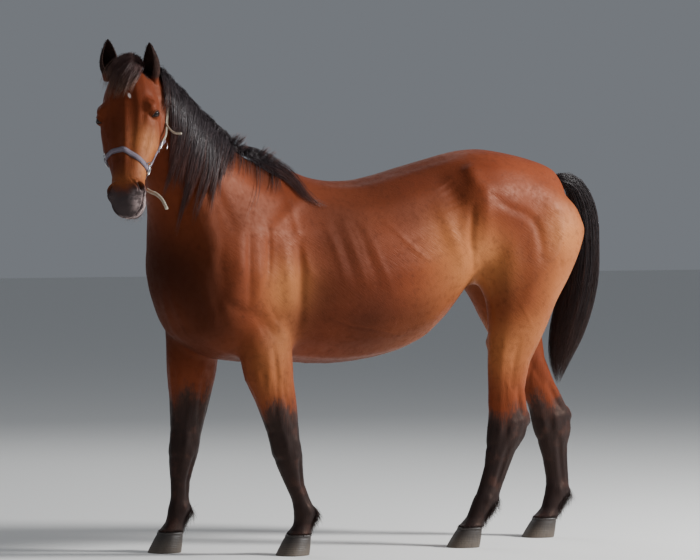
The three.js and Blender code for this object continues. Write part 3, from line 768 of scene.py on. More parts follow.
def leg_spot(skin, name, z, degrees):
    x, y = leg_axis(name, z)
    angle = LEG_TURN[name[:4]] - math.radians(degrees)
    out = np.array([math.cos(angle), math.sin(angle), 0])
    return skin.spot(np.array([x, y, z]) + out * 0.16, -out)


def shape_legs(skin):
    for name in AXES:
        for path, radius, height in (FORE_DETAIL if name.startswith("fore") else HIND_DETAIL) + [CORONET]:
            points, facing = met([leg_spot(skin, name, z, degrees) for z, degrees in path])
            if points is None:
                continue
            around = path is CORONET[0]
            skin.push(points, radius / 1000, height / 1000, None if around else facing, taper=not around)
        z, degrees = CHESTNUTS[name]
        pad = [leg_spot(skin, name, z + rise, degrees)[0] for rise in (-0.016, 0, 0.016)]
        skin.push(np.array(pad), 0.008, 0.005)
    for line, radius, height in UNDERSIDE:
        skin.push(skin.pulled(np.array(line) + ORIGIN)[0], radius, height)


# ---- the forms of the head, in its own frame, in millimetres; each is repeated on its right ----
HEAD_FORMS = [
    ([(150, 92, -40), (176, 98, -34)], 20, -7),  # hollow over the eye
    ([(186, 98, -30), (208, 106, -26), (232, 108, -30)], 10, 4),  # brow
    ([(206, 116, -82), (160, 110, -92), (112, 102, -104)], 12, 5),  # arch from eye to ear
    ([(246, 118, -84), (280, 114, -98), (325, 104, -105), (372, 90, -106)], 9, 5),  # crest of the face
    ([(262, 116, -126), (310, 108, -130), (372, 88, -128)], 15, -5),
    ([(286, 84, -40), (350, 74, -44), (420, 60, -46), (470, 56, -48)], 20, -6),
    ([(190, 0, 6), (300, 0, 0), (420, 0, -4), (500, 0, -2)], 17, 5),  # ridge of the nose
    ([(150, 34, 8), (230, 42, 2), (320, 36, 0), (430, 28, 0)], 14, -3),
    ([(206, 90, -10), (240, 80, -8), (270, 74, -12)], 14, -4),
    ([(90, 100, -176), (128, 100, -232), (178, 92, -272), (226, 84, -272)], 14, 5),  # edge of the jaw
    ([(62, 92, -160), (84, 92, -210), (112, 82, -262)], 14, -6),
    ([(150, 112, -150), (200, 122, -190), (236, 112, -230)], 40, 4),
    ([(250, 100, -236), (300, 92, -208), (350, 84, -180)], 10, -4),
    ([(330, 94, -160), (380, 80, -146), (440, 66, -134)], 10, -3),
    ([(470, 62, -62), (510, 60, -72), (540, 62, -82)], 12, -3),
    ([(520, 40, -2), (560, 48, -2), (590, 46, -14)], 9, 3),
    ([(590, 40, -70), (612, 38, -80), (630, 26, -84)], 14, 3),
    ([(560, 58, -106), (590, 52, -112)], 12, 3),
    ([(604, 34, -128), (620, 18, -128)], 12, 3),
]
# The slit of the mouth from its corner towards the middle of the lips, in the photograph's frame.
MOUTH = [(143.6, 190), (143.2, 196), (141.8, 204), (139, 210.5), (135, 215)]
NOSTRIL_AT = (548, 58, -26)
NOSTRIL_SIZE = (19, 9.5)  # half length and half width of its opening
EYE_OPENING = (18.0, 8.4)  # half length and half height between the lids
EYE_RADIUS = 0.021


def shape_head(skin):
    for points, radius, height in HEAD_FORMS:
        for _, hand in HANDS:
            places, facing = skin.pulled([on_head(s, hand * w, n) for s, w, n in points])
            skin.push(places, radius / 1000, height / 1000, facing)


def nostril_frame(skin, hand):
    """Middle of a nostril's opening and its directions: along the opening, across it, and out."""
    place, _ = skin.nearest(on_head(NOSTRIL_AT[0], hand * NOSTRIL_AT[1], NOSTRIL_AT[2]))
    out = (FACE_DOWN * 0.25 + HEAD_LEFT * (hand * 0.74) + FACE_OUT * 0.62).normalized()
    along = FACE_DOWN * 0.92 - FACE_OUT * 0.38 + HEAD_LEFT * (hand * 0.10)
    along = (along - out * along.dot(out)).normalized()
    across = out.cross(along)
    if across.dot(HEAD_LEFT) * hand < 0:
        across = -across
    return place, np.array([along, across, out])


def nostril_rings(skin, hand, points):
    """How far each point is from the middle of a nostril's comma-shaped opening, 1 at its edge."""
    place, axes = nostril_frame(skin, hand)
    a, b, c = ((points - place) @ axes.T * 1000).T
    bend = 5.0 * (a / NOSTRIL_SIZE[0]) ** 2
    ring = np.hypot(a / NOSTRIL_SIZE[0], (b + bend - 2.5) / NOSTRIL_SIZE[1])
    return np.where((np.abs(c) < 34) & (np.hypot(a, b) < 55), ring, 9.0), axes[2]


def shape_muzzle(skin):
    """The fine forms, once the head's grid is finer: lips, nostrils and wrinkles."""
    near = skin.seen(MOUTH)[0]
    slit = head_coords(near) * 1000
    slit = np.vstack([slit, [slit[-1, 0] + 2, 0, slit[-1, 2]]])
    for _, hand in HANDS:
        sides = slit * np.array([1, hand, 1])
        lips = [skin.pulled([on_head(*p) for p in sides + np.array([0, 0, lift])])[0] for lift in (0, 8, -8)]
        for lip, radius, height in zip(lips, (0.0032, 0.0060, 0.0060), (-0.0080, 0.0028, 0.0028)):
            skin.push(lip, radius, height, taper=False)
        end = slit[0, 0] - 8
        corner = [(end, hand * 64, -82), (end - 4, hand * 64, -94), (end, hand * 62, -108)]
        skin.push(skin.pulled([on_head(*p) for p in corner])[0], 0.004, -0.0025)
        for offset in (8, 17, 26):
            wrinkle = [(536 + offset * 0.5, hand * 50, -60 - offset), (576, hand * 50, -64 - offset * 0.6)]
            skin.push(skin.pulled([on_head(*p) for p in wrinkle])[0], 0.0032, -0.0012)
        ring, out = nostril_rings(skin, hand, skin.verts)
        sink = 0.015 * smoothstep(1.08, 0.50, ring) - 0.0034 * np.exp(-((ring - 1.38) / 0.26) ** 2)
        sink += 0.0016 * np.exp(-((ring - 2.05) / 0.22) ** 2)
        skin.verts -= sink[:, None] * out


class Eye:
    """Place and directions of one eye: along the slit to the nose, up, and out of the socket."""

    def __init__(self, side, hand):
        self.centre = np.array(middle("eye_" + side))
        out = FACE_DOWN * 0.34 + HEAD_LEFT * (hand * 0.80) + FACE_OUT * 0.48
        along = heading * 0.90 + Vector((0, 0, -0.43))
        out = out.normalized()
        along = (along - out * along.dot(out)).normalized()
        up = out.cross(along) * (-hand)
        if up.z < 0:
            up = -up
        self.axes = np.array([along, up, out])

    def local(self, points):
        return (points - self.centre) @ self.axes.T

    def world(self, local):
        return local @ self.axes + self.centre

    def outside(self, a, b):
        """Rough distance from the edge of the opening, in millimetres; negative between the lids."""
        length, height = EYE_OPENING
        up = np.where(b > 0, 1.0, 0.82)
        edge = height * up * np.maximum(1 - np.abs(a / length) ** 2.1, 0)
        beside = np.maximum(np.abs(a) - length, 0)
        return np.where(beside > 0, np.hypot(beside, b), np.abs(b) - edge)


EYES = [Eye(side, hand) for side, hand in HANDS]


def shape_lids(skin, eye):
    """Opens the skin over the eyeball and folds it into lids."""
    a, b, c = (eye.local(skin.verts) * 1000).T
    distance = np.sqrt(a * a + b * b + c * c)
    near = (distance < 48) & (c > 0)
    ids = np.nonzero(near)[0]
    a, b, c, distance = a[ids], b[ids], c[ids], distance[ids]
    out = eye.outside(a, b)
    radius = EYE_RADIUS * 1000
    lid = radius + np.where(b > 0, 3.4, 2.4) + 0.16 * np.maximum(out, 0)
    crease = np.where(b > 0, 1.25, 0.7)
    lid -= crease * 1.7 * np.exp(-((out - 8.5) / 1.5) ** 2)
    lid += crease * 1.5 * np.exp(-((out - 12.5) / 2.4) ** 2)
    lid -= crease * 1.0 * np.exp(-((out - 17.5) / 1.6) ** 2)
    hold = smoothstep(24, 6, out)
    target = distance * (1 - hold) + lid * hold
    inside = smoothstep(0.8, -0.6, out)
    target = target * (1 - inside) + (radius - 5.5) * inside
    factor = target / distance
    skin.verts[ids] = eye.world(np.stack([a * factor, b * factor, c * factor], 1) / 1000)


# ---- the lie and the colours of the coat ----
# Painted light and shade on the bay, where it is drawn lighter (sunlit and bounce-lit patches and its mealy
# ones, the lit side of the face) or darker (painted shade on the breast, barrel, back, thigh hollow and the
# face's far side): a place in the photograph's frame, metres across, how much.
LIT_AND_MEALY_SPOTS = [
    ((290, 290), 0.11, 0.95), ((286, 340), 0.08, 0.55), ((455, 242), 0.13, 0.50),
    ((470, 268), 0.10, 0.45), ((440, 300), 0.14, 0.25), ((570, 235), 0.12, 0.65), ((560, 290), 0.12, 0.50),
    ((482, 262), 0.12, 0.85), ((515, 350), 0.13, 0.50), ((540, 330), 0.09, 0.45), ((275, 362), 0.10, 0.40),
    ((280, 390), 0.08, 0.30), ((150, 145), 0.07, 0.85), ((146, 170), 0.05, 0.85),
]
SHADE_SPOTS = [
    ((335, 195), 0.15, 0.40), ((380, 190), 0.17, 0.58), ((345, 225), 0.12, 0.55), ((410, 215), 0.10, 0.30),
    ((430, 168), 0.15, 0.50), ((322, 300), 0.15, 0.70), ((350, 250), 0.14, 0.35), ((240, 215), 0.10, 0.45),
    ((370, 325), 0.18, 0.85), ((420, 320), 0.12, 0.60), ((300, 330), 0.10, 0.35), ((330, 245), 0.10, 0.20),
    ((498, 290), 0.13, 0.40), ((175, 265), 0.16, 0.55), ((200, 300), 0.14, 0.45), ((215, 330), 0.12, 0.45),
    ((450, 192), 0.10, 0.30), ((524, 216), 0.08, 0.30), ((116, 130), 0.07, 0.40), ((118, 165), 0.06, 0.35),
]


def spread_spots(skin, spots):
    """The spots as points of the skin, those of the trunk on both sides."""
    found = []
    for pixel, size, amount in spots:
        place, _ = skin.spot(camera_at, pixel_ray(*pixel))
        if place is not None:
            found.append((place, size, amount))
        if place is not None and place[2] > 0.80 and place[0] > -0.95:
            other = place * np.array([1, -1, 1]) + np.array([0, 2 * spine_y(place[0]), 0])
            found.append((other, size, amount))
    return found


def tone(points, spots):
    """How strongly the spots act at each point, from 0 to 1."""
    total = np.zeros(len(points))
    for place, size, amount in spots:
        total = 1 - (1 - total) * (1 - amount * np.exp(-((points - place) ** 2).sum(1) / size ** 2))
    return total


def coat_attributes(points, skin, light, dark):
    """Markings of the coat at each point, by name, with painted light and shade among them; light and dark
    are the spots of painted light and of painted shade on the skin.
    """
    x, y, z = points.T
    s, w, n = head_coords(points).T * 1000
    drawn = points - ORIGIN
    on_skull = (s > -20) & (np.abs(w) < 150) & (n > -330) & (n < 60) & (drawn[:, 0] < -1.0)
    fore = drawn[:, 0] < 0
    near = drawn[:, 1] < 0
    ripple = 0.022 * np.sin(8 * drawn[:, 0] * 6.28 + 3 * z) + 0.014 * np.sin(15 * y * 6.28)
    limit = np.where(fore, np.where(near, 0.600, 0.640), 0.575) + ripple
    black = smoothstep(limit + 0.15, limit - 0.13, z)
    front = np.where(fore, 0, smoothstep(0.02, -0.03, drawn[:, 0] - np.interp(z, [0.4, 0.6], [0.40, 0.43])))
    black = np.clip(black - 0.35 * front * smoothstep(0.48, 0.60, z), 0, 1)
    muzzle = np.where(on_skull, smoothstep(502, 622, s + 0.30 * np.abs(w) - 4), 0)
    lips = smoothstep(30, 8, np.abs(n + 100)) * smoothstep(545, 600, s)
    nose = smoothstep(545, 600, s) * smoothstep(2, 58, w) * smoothstep(-120, -60, n)
    pale = np.where(on_skull, np.clip(lips + nose, 0, 1), 0)
    lean = (s - 150) * 0.94 + (w - 21) * 0.34
    from_star = np.hypot(lean / 15, (w - 21 - 0.3 * (s - 150)) / 6.5)
    star = np.where(on_skull, smoothstep(1.7, 0.3, from_star) * (n > -40), 0)
    around = np.zeros(len(points))
    for eye in EYES:
        a, b, c = (eye.local(points) * 1000).T
        close = (a * a + b * b + c * c < 60 ** 2) & (c > -10)
        around = np.maximum(around, np.where(close, smoothstep(7.5, 1.5, eye.outside(a, b)), 0))
    nostrils = np.zeros(len(points))
    for _, hand in HANDS:
        nostrils = np.maximum(nostrils, smoothstep(1.25, 0.80, nostril_rings(skin, hand, points)[0]))
    # Painted light: a gold glow of bounce light under the belly, at the flank fold and on the buttock, a
    # lighter band above the muzzle, and the lit and mealy spots.
    belly = (smoothstep(1.02, 0.84, z) * smoothstep(-0.35, 0.10, drawn[:, 0])
             * smoothstep(0.52, 0.34, drawn[:, 0]) * smoothstep(0.68, 0.80, z))
    flank = np.exp(-((drawn[:, 0] - 0.33) / 0.13) ** 2 - ((z - 1.12) / 0.10) ** 2)
    buttock = smoothstep(0.60, 0.76, drawn[:, 0]) * smoothstep(0.85, 1.0, z) * smoothstep(1.52, 1.35, z)
    face = np.where(on_skull, 0.25 * smoothstep(440, 520, s) * smoothstep(580, 520, s), 0)
    gold = np.clip(0.18 * belly + 0.2 * flank + 0.2 * buttock + face + tone(points, light), 0, 0.8)
    gold *= 1 - black
    # Painted shade: darker under the mane along the crest, on the breast, between the legs and at the shade
    # spots; darker real skin round the eyes, and a darker poll.
    crest = np.zeros(len(points))
    under = (drawn[:, 0] < -0.55) & (z > 1.4) & ~on_skull
    top = np.interp(drawn[:, 0], [-1.2, -1.05, -0.91, -0.78, -0.66, -0.5],
                    [1.98, 1.935, 1.83, 1.71, 1.63, 1.6])
    crest[under] = smoothstep(0.17, 0.05, top[under] - z[under]) * 0.8
    chest = (smoothstep(-0.70, -0.95, drawn[:, 0]) * smoothstep(1.45, 1.15, z)
             * smoothstep(0.7, 0.85, z) * 0.35)
    between = (smoothstep(0.12, 0.04, np.abs(y - spine_y(x))) * smoothstep(0.98, 0.80, z)
               * smoothstep(0.6, 0.75, z) * 0.3)
    poll = 0.30 * np.where(on_skull, smoothstep(60, 0, s), 0)
    deep = np.clip(crest + chest + between + 0.9 * tone(points, dark) + 0.8 * around + poll, 0, 1)
    return {"black": np.clip(black + 0.9 * around + 1.0 * nostrils, 0, 1.2), "muzzle": muzzle, "pale": pale,
            "star": star, "gold": gold, "deep": deep}


def lie_shares(points):
    """How much of each point's hair lies as on the legs, and as on the head."""
    s = head_coords(points)[:, :1]
    legs = smoothstep(0.95, 0.75, points[:, 2:])
    return legs, smoothstep(-0.9, -1.05, points[:, :1] - ORIGIN[0]) * smoothstep(-0.01, 0.05, s)


def coat_lie(points):
    """Coordinates squeezed along the lie of the hairs, so that a noise in them runs in streaks."""
    x, y, z = (points - ORIGIN).T
    legs, on_skull = lie_shares(points)
    body = np.stack([(x * 0.80 - z * 0.60) * 0.12, y, x * 0.60 + z * 0.80], 1)
    mixed = body * (1 - legs) + np.stack([x, y, z * 0.12], 1) * legs
    return mixed * (1 - on_skull) + head_coords(points) * np.array([0.25, 1.8, 1.8]) * on_skull


def hair_direction(points):
    """Which way the hairs lie at each point, before they are laid on the skin."""
    legs, on_skull = lie_shares(points)
    mixed = np.array([0.80, 0, -0.60]) * (1 - legs) + np.array([0.10, 0, -1.0]) * legs
    return mixed * (1 - on_skull) + np.array(-FACE_DOWN * 0.2 - FACE_OUT * 0.9) * on_skull


def ring_quads(count, sides, closed=False):
    """Quads between the rings of a grid, the last ring joined to the first if closed."""
    k = np.arange(sides)
    nxt = (k + 1) % sides
    steps = [(r * sides, (r + 1) % count * sides) for r in range(count if closed else count - 1)]
    return np.vstack([np.stack([a + k, a + nxt, b + nxt, b + k], 1) for a, b in steps])


def capped(grid, ends, inwards=False):
    """Vertices and faces of joined rings with a fan to a point at each end."""
    count, sides = grid.shape[:2]
    verts = np.vstack([grid.reshape(-1, 3), ends])
    k = np.arange(sides)
    nxt = (k + 1) % sides
    start, low = np.full(sides, count * sides), (count - 1) * sides
    quads = ring_quads(count, sides)
    tris = np.vstack([np.stack([start, nxt, k], 1), np.stack([start + 1, low + k, low + nxt], 1)])
    return verts, [quads[:, [0, 3, 2, 1]], tris[:, ::-1]] if inwards else [quads, tris]


# ---- ears: thin cupped shells set on the skull ----
EAR_LENGTH = 0.160
# Share of the length from the root, and of the greatest half width.
EAR_ROWS = [(0, 0.72), (0.12, 0.80), (0.25, 0.95), (0.42, 1), (0.58, 0.88), (0.72, 0.68), (0.86, 0.42),
            (0.95, 0.20), (1, 0.05)]
EAR_HALF = 0.038
EAR_THICK = 0.0032


def ear_matrix(hand):
    root = on_head(22 + hand * 20, hand * 89, -98)
    turn = (Matrix.Rotation(HEAD_HEADING, 4, "Z") @ Matrix.Rotation(math.radians(-hand * 28), 4, "Z")
            @ Matrix.Rotation(math.radians(-6), 4, "Y") @ Matrix.Rotation(math.radians(hand * 5), 4, "X"))
    return Matrix.Translation(root) @ turn


def ear_local(points, hand):
    """Points of space in the ear's own frame, before it was set."""
    matrix = ear_matrix(hand).inverted()
    return points @ np.array(matrix.to_3x3()).T + np.array(matrix.translation)


def ear_half(t):
    rows = np.array(EAR_ROWS)
    return np.interp(t, rows[:, 0], rows[:, 1]) * EAR_HALF


def ear_point(t, angle, inner):
    """A point of the ear before it is set: t up the ear, angle round from its back."""
    half = ear_half(t)
    half = half - inner * np.minimum(EAR_THICK, half * 0.5)
    forward = -0.006 * t - 0.010 * t * t
    curl = 1 + 0.10 * np.sin(3 * angle) * (1 - t)
    return np.stack([forward + half * 0.80 * np.cos(angle) * curl, half * np.sin(angle), t * EAR_LENGTH], -1)


def ear_shell(hand):
    """Closed grid of a cupped ear whose opening narrows to a tube at the root."""
    rows, columns = ((40, 44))
    t = np.linspace(-0.10, 1, rows)[:, None]
    open_half = np.interp(t, [-0.1, 0.03, 0.16, 0.4, 1.0], [175, 172, 150, 128, 108]) * math.pi / 180
    angle = np.linspace(-1, 1, columns)[None] * open_half
    outside, inside = (ear_point(np.broadcast_to(t, angle.shape), angle, inner) for inner in (0.0, 1.0))
    inside[0] = inside[0].mean(0)
    grid = np.concatenate([outside, inside[:, ::-1]], 1)
    sides = grid.shape[1]
    tip = (rows - 1) * sides
    base = np.arange(columns - 1)
    cap = np.stack([tip + base, tip + base + 1, tip + sides - 2 - base, tip + sides - 1 - base], 1)
    low = np.stack([base, sides - 1 - base, sides - 2 - base, base + 1], 1)
    matrix = np.array(ear_matrix(hand))
    verts = grid.reshape(-1, 3) @ matrix[:3, :3].T + matrix[:3, 3]
    piece = new_object("ear", verts, np.vstack([ring_quads(rows, sides), cap, low]))
    work = bmesh.new()
    work.from_mesh(piece.data)
    bmesh.ops.remove_doubles(work, verts=work.verts, dist=1e-6)
    bmesh.ops.recalc_face_normals(work, faces=work.faces)
    work.to_mesh(piece.data)
    work.free()
    return piece


def join_ears(skin):
    """The skin as an object with both ears grown into it."""
    body = new_object("skin", skin.verts, [skin.quads, skin.tris])
    for side, hand in HANDS:
        ear = ear_shell(hand)
        union = body.modifiers.new("ear_" + side, "BOOLEAN")
        union.operation = "UNION"
        union.solver = "MANIFOLD"
        union.object = ear
        mesh = evaluated(body)
        body.modifiers.clear()
        old, body.data = body.data, mesh
        bpy.data.meshes.remove(old)
        bpy.data.objects.remove(ear)
    mesh = body.data
    points = coords(mesh)
    weight = np.zeros(len(points))
    for _, hand in HANDS:
        local = ear_local(points, hand)
        along = smoothstep(0.045, 0.012, local[:, 2]) * smoothstep(-0.060, -0.030, local[:, 2])
        weight = np.maximum(weight, along * smoothstep(0.075, 0.045, np.hypot(local[:, 0], local[:, 1])))
    set_coords(mesh, relax(points, edge_pairs(mesh), 8, 0.5 * weight))
    return body


def ear_share(points):
    """How much each point belongs to an ear, and to its hollow."""
    ear, hollow = np.zeros(len(points)), np.zeros(len(points))
    for _, hand in HANDS:
        local = ear_local(points, hand)
        t = local[:, 2] / EAR_LENGTH
        inside = (t > -0.05) & (t < 1.05) & (np.hypot(local[:, 0], local[:, 1]) < 0.05)
        ear = np.maximum(ear, inside * smoothstep(-0.02, 0.2, t))
        gap = np.hypot(local[:, 0] / 0.8, local[:, 1])
        hollow = np.maximum(hollow, inside * (gap < ear_half(t) - EAR_THICK * 0.6))
    return ear, hollow


# ---- eyes ----
def make_eye(side, eye, look):
    """A ball with a slight bulge at the front, marked for its iris and its lying pupil."""
    rows, columns = ((56, 72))
    polar = np.linspace(0, math.pi, rows)[1:-1, None]
    turn = np.linspace(0, 2 * math.pi, columns, endpoint=False)[None]
    radius = (EYE_RADIUS - 0.0006) * (1 + 0.045 * np.exp(-(polar / 0.62) ** 4))
    grid = np.stack([radius * np.sin(polar) * np.cos(turn), radius * np.sin(polar) * np.sin(turn),
                     np.broadcast_to(radius * np.cos(polar), (rows - 2, columns))], -1)
    local, faces = capped(grid, [(0, 0, radius[0, 0]), (0, 0, -radius[-1, 0])], inwards=True)
    piece = new_object("eyeball_" + side, eye.world(local), faces)
    a, b = local[:, 0] * 1000, local[:, 1] * 1000
    front = local[:, 2] > 0
    put_attribute(piece.data, "pupil", smoothstep(1.25, 0.85, np.hypot(a / 7.6, b / 3.9)) * front)
    put_attribute(piece.data, "iris", smoothstep(15.6, 13.6, np.hypot(a, b * 1.15)) * front)
    finish(piece, look, "eyeball", "eye_" + side)


# ---- hooves ----
CORONET_HEIGHT = 0.084
# Height, half length, half width and how far forward, in millimetres.
HOOF = [(83.6, 51, 50, 0), (60, 57, 54, 10), (25, 66, 60, 24), (0, 71, 63, 34)]


def make_hoof(name, look):
    """The hoof's wall with its growth rings, a bevelled ground edge and a sole with frog and clefts."""
    rows, columns = ((44, 96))
    leg = name.replace("_hoof", "leg")
    turn = LEG_TURN[name[:4]]
    along = np.array([math.cos(turn), math.sin(turn), 0])
    across = np.array([-along[1], along[0], 0])
    x, y = leg_axis(leg, CORONET_HEIGHT)
    z = np.concatenate([np.linspace(83.6, 3, rows), [1.2, 0.3, 0.0]])
    table = np.array(HOOF[::-1], float)
    length, width, lean = (np.interp(z, table[:, 0], table[:, k]) for k in (1, 2, 3))
    inset = np.interp(z, [0, 0.3, 1.2, 3], [2.6, 1.6, 0.6, 0])
    ripple = 0.35 * np.sin(z * 0.9) + 0.25 * np.sin(z * 1.7 + 1)
    coronet = 1.6 * np.exp(-((z - 79) / 3.0) ** 2) - 1.0 * np.exp(-((z - 72) / 3.0) ** 2)
    angle = np.linspace(0, 2 * math.pi, columns, endpoint=False)
    cos, sin = np.cos(angle), np.sin(angle)
    heel = np.exp(-((cos - 1) / 0.10) ** 2)
    grow = (ripple * np.clip(z / 20, 0, 1) + coronet - inset - 1.2)[:, None]
    reach = (length[:, None] + grow) * squarish(cos, 0.85)[None] - 7 * heel[None]
    span = (width[:, None] + grow) * squarish(sin, 0.85)[None]
    place = (np.array([x, y, 0]) + (reach[..., None] - lean[:, None, None]) / 1000 * along
             + span[..., None] / 1000 * across + z[:, None, None] / 1000 * np.array([0, 0, 1.0]))
    rings = list(place)
    sole_middle = rings[-1].mean(0)
    for share, lift in ((0.90, 0.0), (0.84, 0.0035), (0.60, 0.0050), (0.30, 0.0045)):
        ring = sole_middle + (rings[-1] - sole_middle) * share
        ring = ring + np.array([0, 0, 1.0]) * lift * (1 - 0.8 * heel[:, None])
        rings.append(ring)
    rings.insert(0, rings[0].mean(0) + (rings[0] - rings[0].mean(0)) * 0.85 - np.array([0, 0, 0.001]))
    verts, faces = capped(np.array(rings), [rings[0].mean(0), rings[-1].mean(0)], inwards=True)
    piece = new_object(name + "_wall", verts, faces)
    local = verts - np.array([x, y, 0])
    put_attribute(piece.data, "down", 1 - verts[:, 2] / CORONET_HEIGHT)
    put_attribute(piece.data, "rings", local * np.array([6, 6, 260]))
    put_attribute(piece.data, "streaks", local * np.array([300, 300, 9]))
    finish(piece, look, "horn", name)


# ---- hairs and tufts: tapered three-sided strands joined into a few meshes ----
# Left, bottom, width and height of each chart in the UV map.
CHARTS = {"trunk": (0.00, 0.32, 0.68, 0.66), "head": (0.70, 0.62, 0.28, 0.36),
          "tail": (0.70, 0.32, 0.28, 0.28)}
LEG_CHARTS = {name: (0.02 + 0.24 * i, 0.01, 0.22, 0.28) for i, name in enumerate(AXES)}
PATCH = 0.003  # size of a strand's patch in the UV map
STRAND_PEAK = 0.35  # where a strand is widest, and how wide its root is beside that
STRAND_ROOT = 0.7


def turn_share(sine, cosine):
    """How far round a circle, from 0 to 1."""
    return np.arctan2(sine, cosine) / (2 * math.pi) + 0.5


def in_chart(chart, u, v):
    """Shares across and up a chart as places in the UV map."""
    left, low, wide, high = chart
    return np.stack([left + wide * np.clip(u, 0, 1), low + high * np.clip(v, 0, 1)], 1)


def unwrap(points):
    """Unwraps the animal's own shape: cylinders round the trunk, head, tail and each leg."""
    x, y, z = points.T
    drawn = points - ORIGIN
    middle_z = np.interp(drawn[:, 0], [-1.2, -0.95, -0.7, -0.4, 0.4, 0.8],
                         [1.82, 1.55, 1.25, 1.15, 1.35, 1.4])
    uv = in_chart(CHARTS["trunk"], turn_share(y - spine_y(x), z - middle_z), (drawn[:, 0] + 1.25) / 2.15)
    s, w, n = head_coords(points).T
    on_skull = (s > -0.02) & (np.abs(w) < 0.16) & (n > -0.33) & (drawn[:, 0] < -1.0)
    turn = turn_share(w, n + 0.10)
    uv[on_skull] = in_chart(CHARTS["head"], turn, (s + 0.03) / 0.70)[on_skull]
    ears = (s < 0.06) & (z > 1.93) & (drawn[:, 0] < -1.05)
    uv[ears] = in_chart(CHARTS["head"], turn, 0.02 + (z - 1.93) * 0.3)[ears]
    behind = drawn[:, 0] > 0.84
    turn = turn_share(y - ORIGIN[1] - 0.04, drawn[:, 0] - 0.90)
    uv[behind] = in_chart(CHARTS["tail"], turn, z - 0.6)[behind]
    for name, chart in LEG_CHARTS.items():
        ax, ay = leg_axis(name, z)
        close = (z < 0.80) & (np.hypot(x - ax, y - ay) < 0.18)
        uv[close] = in_chart(chart, turn_share(y - ay, x - ax), z / 0.80)[close]
    return uv


def strand_mesh(name, paths, widths, facing, flat=0.5, values=None):
    """One mesh of strands along paths (strands, points, 3), each widths wide at its broadest."""
    count, rings, _ = paths.shape
    tangent = unit(np.gradient(paths, axis=1))
    side = unit(np.cross(tangent, facing))
    rise = np.cross(side, tangent)
    t = np.linspace(0, 1, rings)
    shape = np.where(t < STRAND_PEAK, STRAND_ROOT + (1 - STRAND_ROOT) * t / STRAND_PEAK,
                     ((1 - t) / (1 - STRAND_PEAK)) ** 0.7)
    half = (0.5 * widths[:, None] * shape[None])[..., None]
    body = rings - 1
    ring = np.stack([paths + half * (math.cos(a) * side + flat * math.sin(a) * rise)
                     for a in (math.pi / 2, math.pi * 7 / 6, math.pi * 11 / 6)], 2)[:, :body]
    tip = 3 * body
    per = tip + 1
    verts = np.concatenate([ring.reshape(count, tip, 3), paths[:, -1:]], 1).reshape(-1, 3)
    tris = np.array([(tip - 3, tip - 2, tip), (tip - 2, tip - 1, tip), (tip - 1, tip - 3, tip), (2, 1, 0)])
    base = (np.arange(count) * per)[:, None, None]
    faces = [(f[None] + base).reshape(-1, f.shape[1]) for f in (ring_quads(body, 3), tris)]
    piece = new_object(name, verts, faces)
    along = np.tile(np.append(np.repeat(t[:body], 3), 1.0), count)
    put_attribute(piece.data, "along", along)
    put_attribute(piece.data, "tint", np.repeat(RANDOM.uniform(0, 1, count), per))
    for key, value in (values or {}).items():
        put_attribute(piece.data, key, np.repeat(value, per, axis=0))
    root = np.repeat(unwrap(paths[:, 0]), per, axis=0)
    across = np.tile(np.append(np.tile([0.0, -0.5, 0.5], body), 0.0), count)
    uv = root + PATCH * np.stack([across, along - 0.5], 1)
    layer = piece.data.uv_layers.new(name="OFBake")
    layer.data.foreach_set("uv", uv[corners(piece.data)].astype(np.float32).ravel())
    return piece


HAIR_WIDTH = (0.0014, 0.0030)
STRANDS = {"mane": 3700, "withers": 300, "wisp": 22, "forelock": 900, "tail": 3500}


def shares(count):
    return max(40, int(count * HAIR_SHARE))


# The mane's locks on the near side, root to tip, in the photograph's frame, and how full each is.
MANE_GUIDES = [
    ([(159, 66), (162, 82), (166, 99), (168, 116)], 0.45),
    ([(164, 70), (169, 94), (172, 124), (171, 160)], 0.6),
    ([(170, 77), (174, 102), (174, 132), (167, 184)], 0.8),
    ([(177, 84), (180, 110), (178, 142), (169, 192)], 1.0),
    ([(187, 94), (187, 118), (184, 148), (173, 202)], 1.0),
    ([(196, 103), (195, 126), (190, 158), (181, 210)], 1.0),
    ([(203, 110), (199, 144), (193, 180), (185, 219)], 1.0),
    ([(209, 115), (205, 142), (203, 172), (195, 214)], 1.0),
    ([(215, 120), (210, 144), (212, 167), (204, 208)], 1.0),
    ([(221, 126), (219, 152), (214, 176), (208, 218)], 1.0),
    ([(228, 133), (224, 155), (221, 174), (217, 198)], 0.35),
    ([(235, 141), (234, 156), (231, 172), (227, 190)], 0.03),
    ([(243, 150), (246, 170), (246, 190), (241, 212)], 0.016),
    ([(250, 153), (252, 172), (252, 190), (247, 204)], 0.007),
    ([(257, 156), (258, 174), (257, 196), (252, 216)], 0.016),
    ([(266, 163), (270, 178), (267, 192), (257, 205)], 0.007),
    ([(272, 168), (274, 184), (272, 200), (265, 214)], 0.014),
    ([(279, 172), (280, 190), (272, 211), (261, 227)], 0.014),
]
WITHERS_LOCK = [(240, 150), (252, 156), (264, 163), (278, 171), (290, 178), (299, 190), (311, 202),
                (322, 206)]
FORELOCK_GUIDES = [
    [(129, 57), (118, 61), (108, 70), (101, 84)],
    [(132, 57), (122, 63), (111, 75), (104, 93)],
    [(135, 58), (127, 66), (116, 80), (109, 98)],
    [(138, 60), (131, 70), (122, 84), (115, 99)],
    [(140, 62), (134, 74), (128, 86), (124, 98)],
    [(142, 65), (138, 76), (134, 85), (130, 93)],
]


